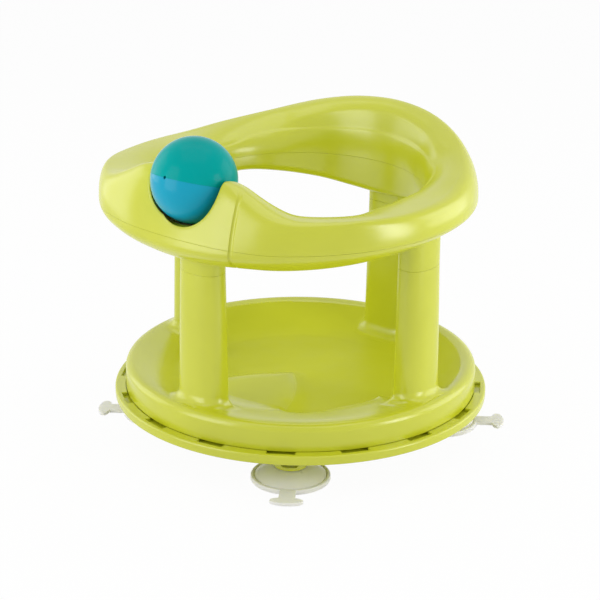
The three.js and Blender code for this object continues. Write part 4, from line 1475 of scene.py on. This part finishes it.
# The two shells: the upper one with the ball's pocket, the axle's seats and posts for the screws, the
# lower one with wells for the screws' heads and a collar for each column
def makeRingShells():
    wall, gap, seam, overrun = fits["wall"], fits["gap"], fits["seam"], fits["overrun"]
    lowest, crest, parting = ring["lowest"], ring["lowest"] + ring["height"], ring["outerParting"]
    skin = makeRingTube("skin", 0, True)
    hollow = makeRingTube("hollow", wall, False)
    places = shellScrewPlaces()
    floor = column["seat"] + wall
    screwSeat = floor + screw["headHeight"] + gap
    pilotTop = screwSeat + screw["length"] + gap

    fill = atBall(ballShape("fill", pocketRadius + wall, roller["fillSteps"]))
    combine(fill, "UNION", makeScoop(wall))
    boss = crossBar(roller["bossRadius"], 2 * (roller["axleReach"] + wall))
    posts = barsAt(places, screw["bossRadius"], parting + seam / 2, crest)
    combine(fill, "UNION", boss, posts)
    combine(fill, "INTERSECT", copied(skin, "skinCopy"))
    upper = copied(skin, "upper")
    combine(upper, "DIFFERENCE", copied(hollow, "hollowCopy"))
    combine(upper, "INTERSECT", overParting(seam / 2))
    combine(upper, "UNION", fill)
    pocket = atBall(ballShape("pocket", pocketRadius, roller["pocketSteps"]))
    combine(pocket, "UNION", makeScoop(0))
    axleHole = crossBar(roller["axleRadius"] + gap, 2 * (roller["axleReach"] + gap))
    pilots = barsAt(places, screw["radius"] + gap, lowest, pilotTop)
    combine(upper, "DIFFERENCE", pocket, axleHole, copied(pilots, "pilotsCopy"))
    print("upper shell made:", len(upper.data.polygons), "faces")

    wells = barsAt(places, screw["headRadius"] + wall, lowest, parting - seam / 2)
    bores = barsAt(places, screw["headRadius"] + fits["running"], lowest - overrun, screwSeat)
    combine(wells, "INTERSECT", copied(skin, "skinCopy"))
    lower = combine(skin, "DIFFERENCE", hollow)
    combine(lower, "DIFFERENCE", overParting(-seam / 2))
    count, low, high, seat = column["count"], column["collarBottom"], column["collarTop"], column["seat"]
    combine(lower, "UNION", wells, repeated(makeCollar(0, low, high), "collars", count))
    sockets = repeated(makeCollar(wall, low - overrun, seat), "sockets", count)
    tops = repeated(makeCollar(wall, floor, high + overrun), "tops", count)
    bore = columnBar(screw["radius"] + gap, seat - overrun, floor + overrun)
    combine(lower, "DIFFERENCE", sockets, tops, repeated(bore, "holes", count), bores, pilots)
    print("lower shell made:", len(lower.data.polygons), "faces")
    return upper, lower


ringUpper, ringLower = (swung(finishSurface(shell), rest["seatTurn"]) for shell in makeRingShells())
dress(ringUpper, "ringUpperShell", "seat", limePlastic, ["ring_upper_shell"])
dress(ringLower, "ringLowerShell", "seat", limePlastic, ["ring_lower_shell"])


# Roller ball: two half shells with a rounded seam, a drain hole and a hole at each end for the axle
def makeBallHalf(name, side):
    radius, wall, edge, gap = roller["radius"], roller["wall"], roller["edge"], roller["seam"] / 2
    pole, within, overrun = roller["poleTurn"], radius - wall, fits["overrun"]
    outside = np.linspace(math.asin((gap + edge) / radius), pole, roller["skinRows"])[1:]
    inside = np.linspace(pole, math.asin(gap / within), roller["insideRows"])
    profile = [(within * math.cos(t), within * math.sin(t)) for t in inside]
    profile += rounding((radius - edge, gap + edge), edge, -90, 0, steps=4)
    profile += [(radius * math.cos(t), radius * math.sin(t)) for t in outside]
    half = turned(name, profile[::-1], 2 * roller["steps"], closed=True)
    cap = bar("cap", roller["capRadius"], radius * roller["capLow"], radius * roller["capTop"])
    combine(half, "UNION", cap)
    reach, holeRadius = radius + overrun, roller["axleRadius"] + fits["gap"]
    drain = swung(bar("drain", roller["drainRadius"], 0, reach), math.pi / 2, "X")
    hole = swung(bar("hole", holeRadius, -reach, reach), math.pi / 2, "Y")
    combine(half, "DIFFERENCE", drain, hole)
    if side < 0:
        half.data.transform(Matrix.Diagonal((1, 1, -1, 1)))
        half.data.flip_normals()
    return half


# Turns a half on its axle, sets it in the ring and turns it with the seat
def placeBall(piece):
    onRing = Matrix.Rotation(rest["seatTurn"], 4, "Z") @ Matrix.Translation(ballPlace * mm)
    piece.data.transform(onRing @ Matrix.Rotation(rest["ballTurn"], 4, "X"))
    return piece


ballUpper = placeBall(finishSurface(makeBallHalf("ballUpper", 1)))
ballLower = placeBall(finishSurface(makeBallHalf("ballLower", -1)))
dress(ballUpper, "ballUpperHalf", "ball", tealPlastic, ["ball_upper_half"])
dress(ballLower, "ballLowerHalf", "ball", bluePlastic, ["ball_lower_half"])


# Axle with chamfered ends
def makeAxle():
    radius, reach, chamfer = roller["axleRadius"], roller["axleReach"], roller["axleChamfer"]
    profile = [
        (radius - chamfer, -reach),
        (radius, -reach + chamfer),
        (radius, reach - chamfer),
        (radius - chamfer, reach),
    ]
    return atBall(swung(turned("axle", profile, 40), math.pi / 2, "Y"))


axle = swung(finishSurface(makeAxle()), rest["seatTurn"])
dress(axle, "ballAxle", "seat", steel, ["ball_axle"])
print("roller ball made")


# Screws, pointing down from a head at z = 0: a pan head with a cross recess and a threaded shank
def makeScrew(length):
    radius, head, high = screw["radius"], screw["headRadius"], screw["headHeight"]
    root, rim = radius - screw["threadDepth"], screw["panRim"]
    below, over = screw["threadFlanks"]
    tip, start = screw["tipLength"] * radius - length, screw["threadStart"] * radius - length
    profile = [(screw["middle"], -length), (screw["tipRadius"] * radius, tip)]
    for level in np.arange(start, -screw["threadEnd"], screw["pitch"]):
        profile += [(root, level - below), (radius, level), (root, level + over)]
    profile += [(root, -screw["plainEnd"]), (radius, 0), (head, 0), (head, rim * high)]
    for t in np.radians(np.linspace(10, 90, 7)):
        across = screw["panWidth"] * head * math.cos(t) + screw["middle"]
        profile.append((across, high * (rim + (1 - rim) * math.sin(t))))
    piece = turned("screw", profile, 32)
    long, thin = screw["recessLength"] * head, screw["recessWidth"] * head / 2
    floor, top = screw["recessFloor"] * high, 2 * high
    first = block("first", (-long, -thin, floor), (long, thin, top))
    second = block("second", (-thin, -long, floor), (thin, long, top))
    return combine(piece, "DIFFERENCE", first, second)


def setScrews(name, points, one):
    screws = makeObject(name, points, [])
    runTree(screws, pointsTree, Piece=one, Finish=steel)
    bpy.data.objects.remove(one)
    return swung(finishSurface(screws), rest["seatTurn"])


columnPlaces = []
for turn in quarterTurns:
    x, y = column["pitchRadius"] * math.sin(turn), -column["pitchRadius"] * math.cos(turn)
    columnPlaces.append((x, y, column["seat"] + fits["wall"] + fits["gap"]))
columnScrews = setScrews("columnScrews", columnPlaces, makeScrew(screw["length"] - fits["wall"]))
dress(columnScrews, "columnScrews", "seat", steel, ["column_screw_" + s for s in sides])
shellScrewHeight = column["seat"] + fits["wall"] + screw["headHeight"]
shellPlaces = [(x, y, shellScrewHeight) for x, y in shellScrewPlaces()]
upwards = swung(makeScrew(screw["length"]), math.pi, "X")
shellScrews = setScrews("shellScrews", shellPlaces, upwards)
shellScrewNodes = [f"shell_screw_{side}_{k}" for side in ("left", "right") for k in (1, 2, 3, 4)]
dress(shellScrews, "shellScrews", "seat", steel, shellScrewNodes)
print("screws made")


# Studio: a pale floor that shows as white and keeps the shadow, soft boxes and an even world. Rays from
# the camera, and those by gloss or through clear plastic, see the white
def seenDirectly(tree):
    path = tree.nodes.new("ShaderNodeLightPath")
    total = path.outputs["Is Camera Ray"]
    for name in ("Is Glossy Ray", "Is Transmission Ray"):
        add = tree.nodes.new("ShaderNodeMath")
        add.operation = "MAXIMUM"
        tree.links.new(total, add.inputs[0])
        tree.links.new(path.outputs[name], add.inputs[1])
        total = add.outputs[0]
    return total


def makeFloor():
    far = studio["floorReach"]
    corners = [(-far, -far, 0), (far, -far, 0), (far, far, 0), (-far, far, 0)]
    floor = makeObject("floor", corners, [(0, 1, 2, 3)])
    material = bpy.data.materials.new("floorPaper")
    material.use_nodes = True
    tree = material.node_tree
    tree.nodes.remove(tree.nodes["Principled BSDF"])
    paper = tree.nodes.new("ShaderNodeBsdfDiffuse")
    paper.inputs["Color"].default_value = (*[studio["floorPaper"]] * 3, 1)
    white = tree.nodes.new("ShaderNodeEmission")
    mix = tree.nodes.new("ShaderNodeMixShader")
    share = tree.nodes.new("ShaderNodeMath")
    share.operation = "MULTIPLY"
    share.inputs[1].default_value = studio["floorWhite"]
    tree.links.new(seenDirectly(tree), share.inputs[0])
    tree.links.new(share.outputs[0], mix.inputs["Fac"])
    tree.links.new(paper.outputs[0], mix.inputs[1])
    tree.links.new(white.outputs[0], mix.inputs[2])
    tree.links.new(mix.outputs[0], tree.nodes["Material Output"].inputs["Surface"])
    floor.data.materials.append(material)


def makeWorld():
    world = bpy.data.worlds.new("studio")
    scene.world = world
    world.use_nodes = True
    tree = world.node_tree
    background = tree.nodes["Background"]
    background.inputs["Color"].default_value = (1, 1, 1, 1)
    strength = tree.nodes.new("ShaderNodeMapRange")
    strength.inputs["To Min"].default_value = studio["worldLight"]
    strength.inputs["To Max"].default_value = 1
    tree.links.new(seenDirectly(tree), strength.inputs["Value"])
    tree.links.new(strength.outputs["Result"], background.inputs["Strength"])


# Soft boxes: bearing in degrees from the camera's side, and distance, width and heights in metres
softBoxes = {
    "leftBox": {"bearing": -57, "distance": 1.0, "width": 0.54, "low": 0.02, "high": 0.98, "radiance": 2.4},
    "rightBox": {"bearing": 60, "distance": 1.0, "width": 0.34, "low": 0.02, "high": 0.62, "radiance": 4.7},
    "rightWall": {"bearing": 104, "distance": 1.3, "width": 0.9, "low": 0.02, "high": 1.0, "radiance": 1.7},
    "leftWall": {"bearing": -112, "distance": 1.3, "width": 0.9, "low": 0.02, "high": 1.0, "radiance": 1.2},
}
ceiling = {"height": 1.7, "size": 1.6, "radiance": 1.0}


def makeLamp(name, place, facing, width, height, radiance):
    data = bpy.data.lights.new(name, "AREA")
    data.shape = "RECTANGLE"
    data.size, data.size_y = width, height
    data.energy = radiance * math.pi * width * height
    lamp = bpy.data.objects.new(name, data)
    lamp.location = place
    lamp.rotation_mode = "QUATERNION"
    lamp.rotation_quaternion = facing.to_track_quat("Z", "Y")
    scene.collection.objects.link(lamp)


def makeSoftBox(name, look):
    bearing = math.radians(studio["azimuth"] + look["bearing"])
    away = Vector((math.sin(bearing), -math.cos(bearing), 0))
    place = away * look["distance"] + Vector((0, 0, (look["low"] + look["high"]) / 2))
    makeLamp(name, place, away, look["width"], look["high"] - look["low"], look["radiance"])


makeFloor()
makeWorld()
for name, look in softBoxes.items():
    makeSoftBox(name, look)
above = Vector((0, 0, ceiling["height"]))
makeLamp("ceilingBox", above, above, ceiling["size"], ceiling["size"], ceiling["radiance"])
scene.view_settings.view_transform = "Standard"
print("studio lit")
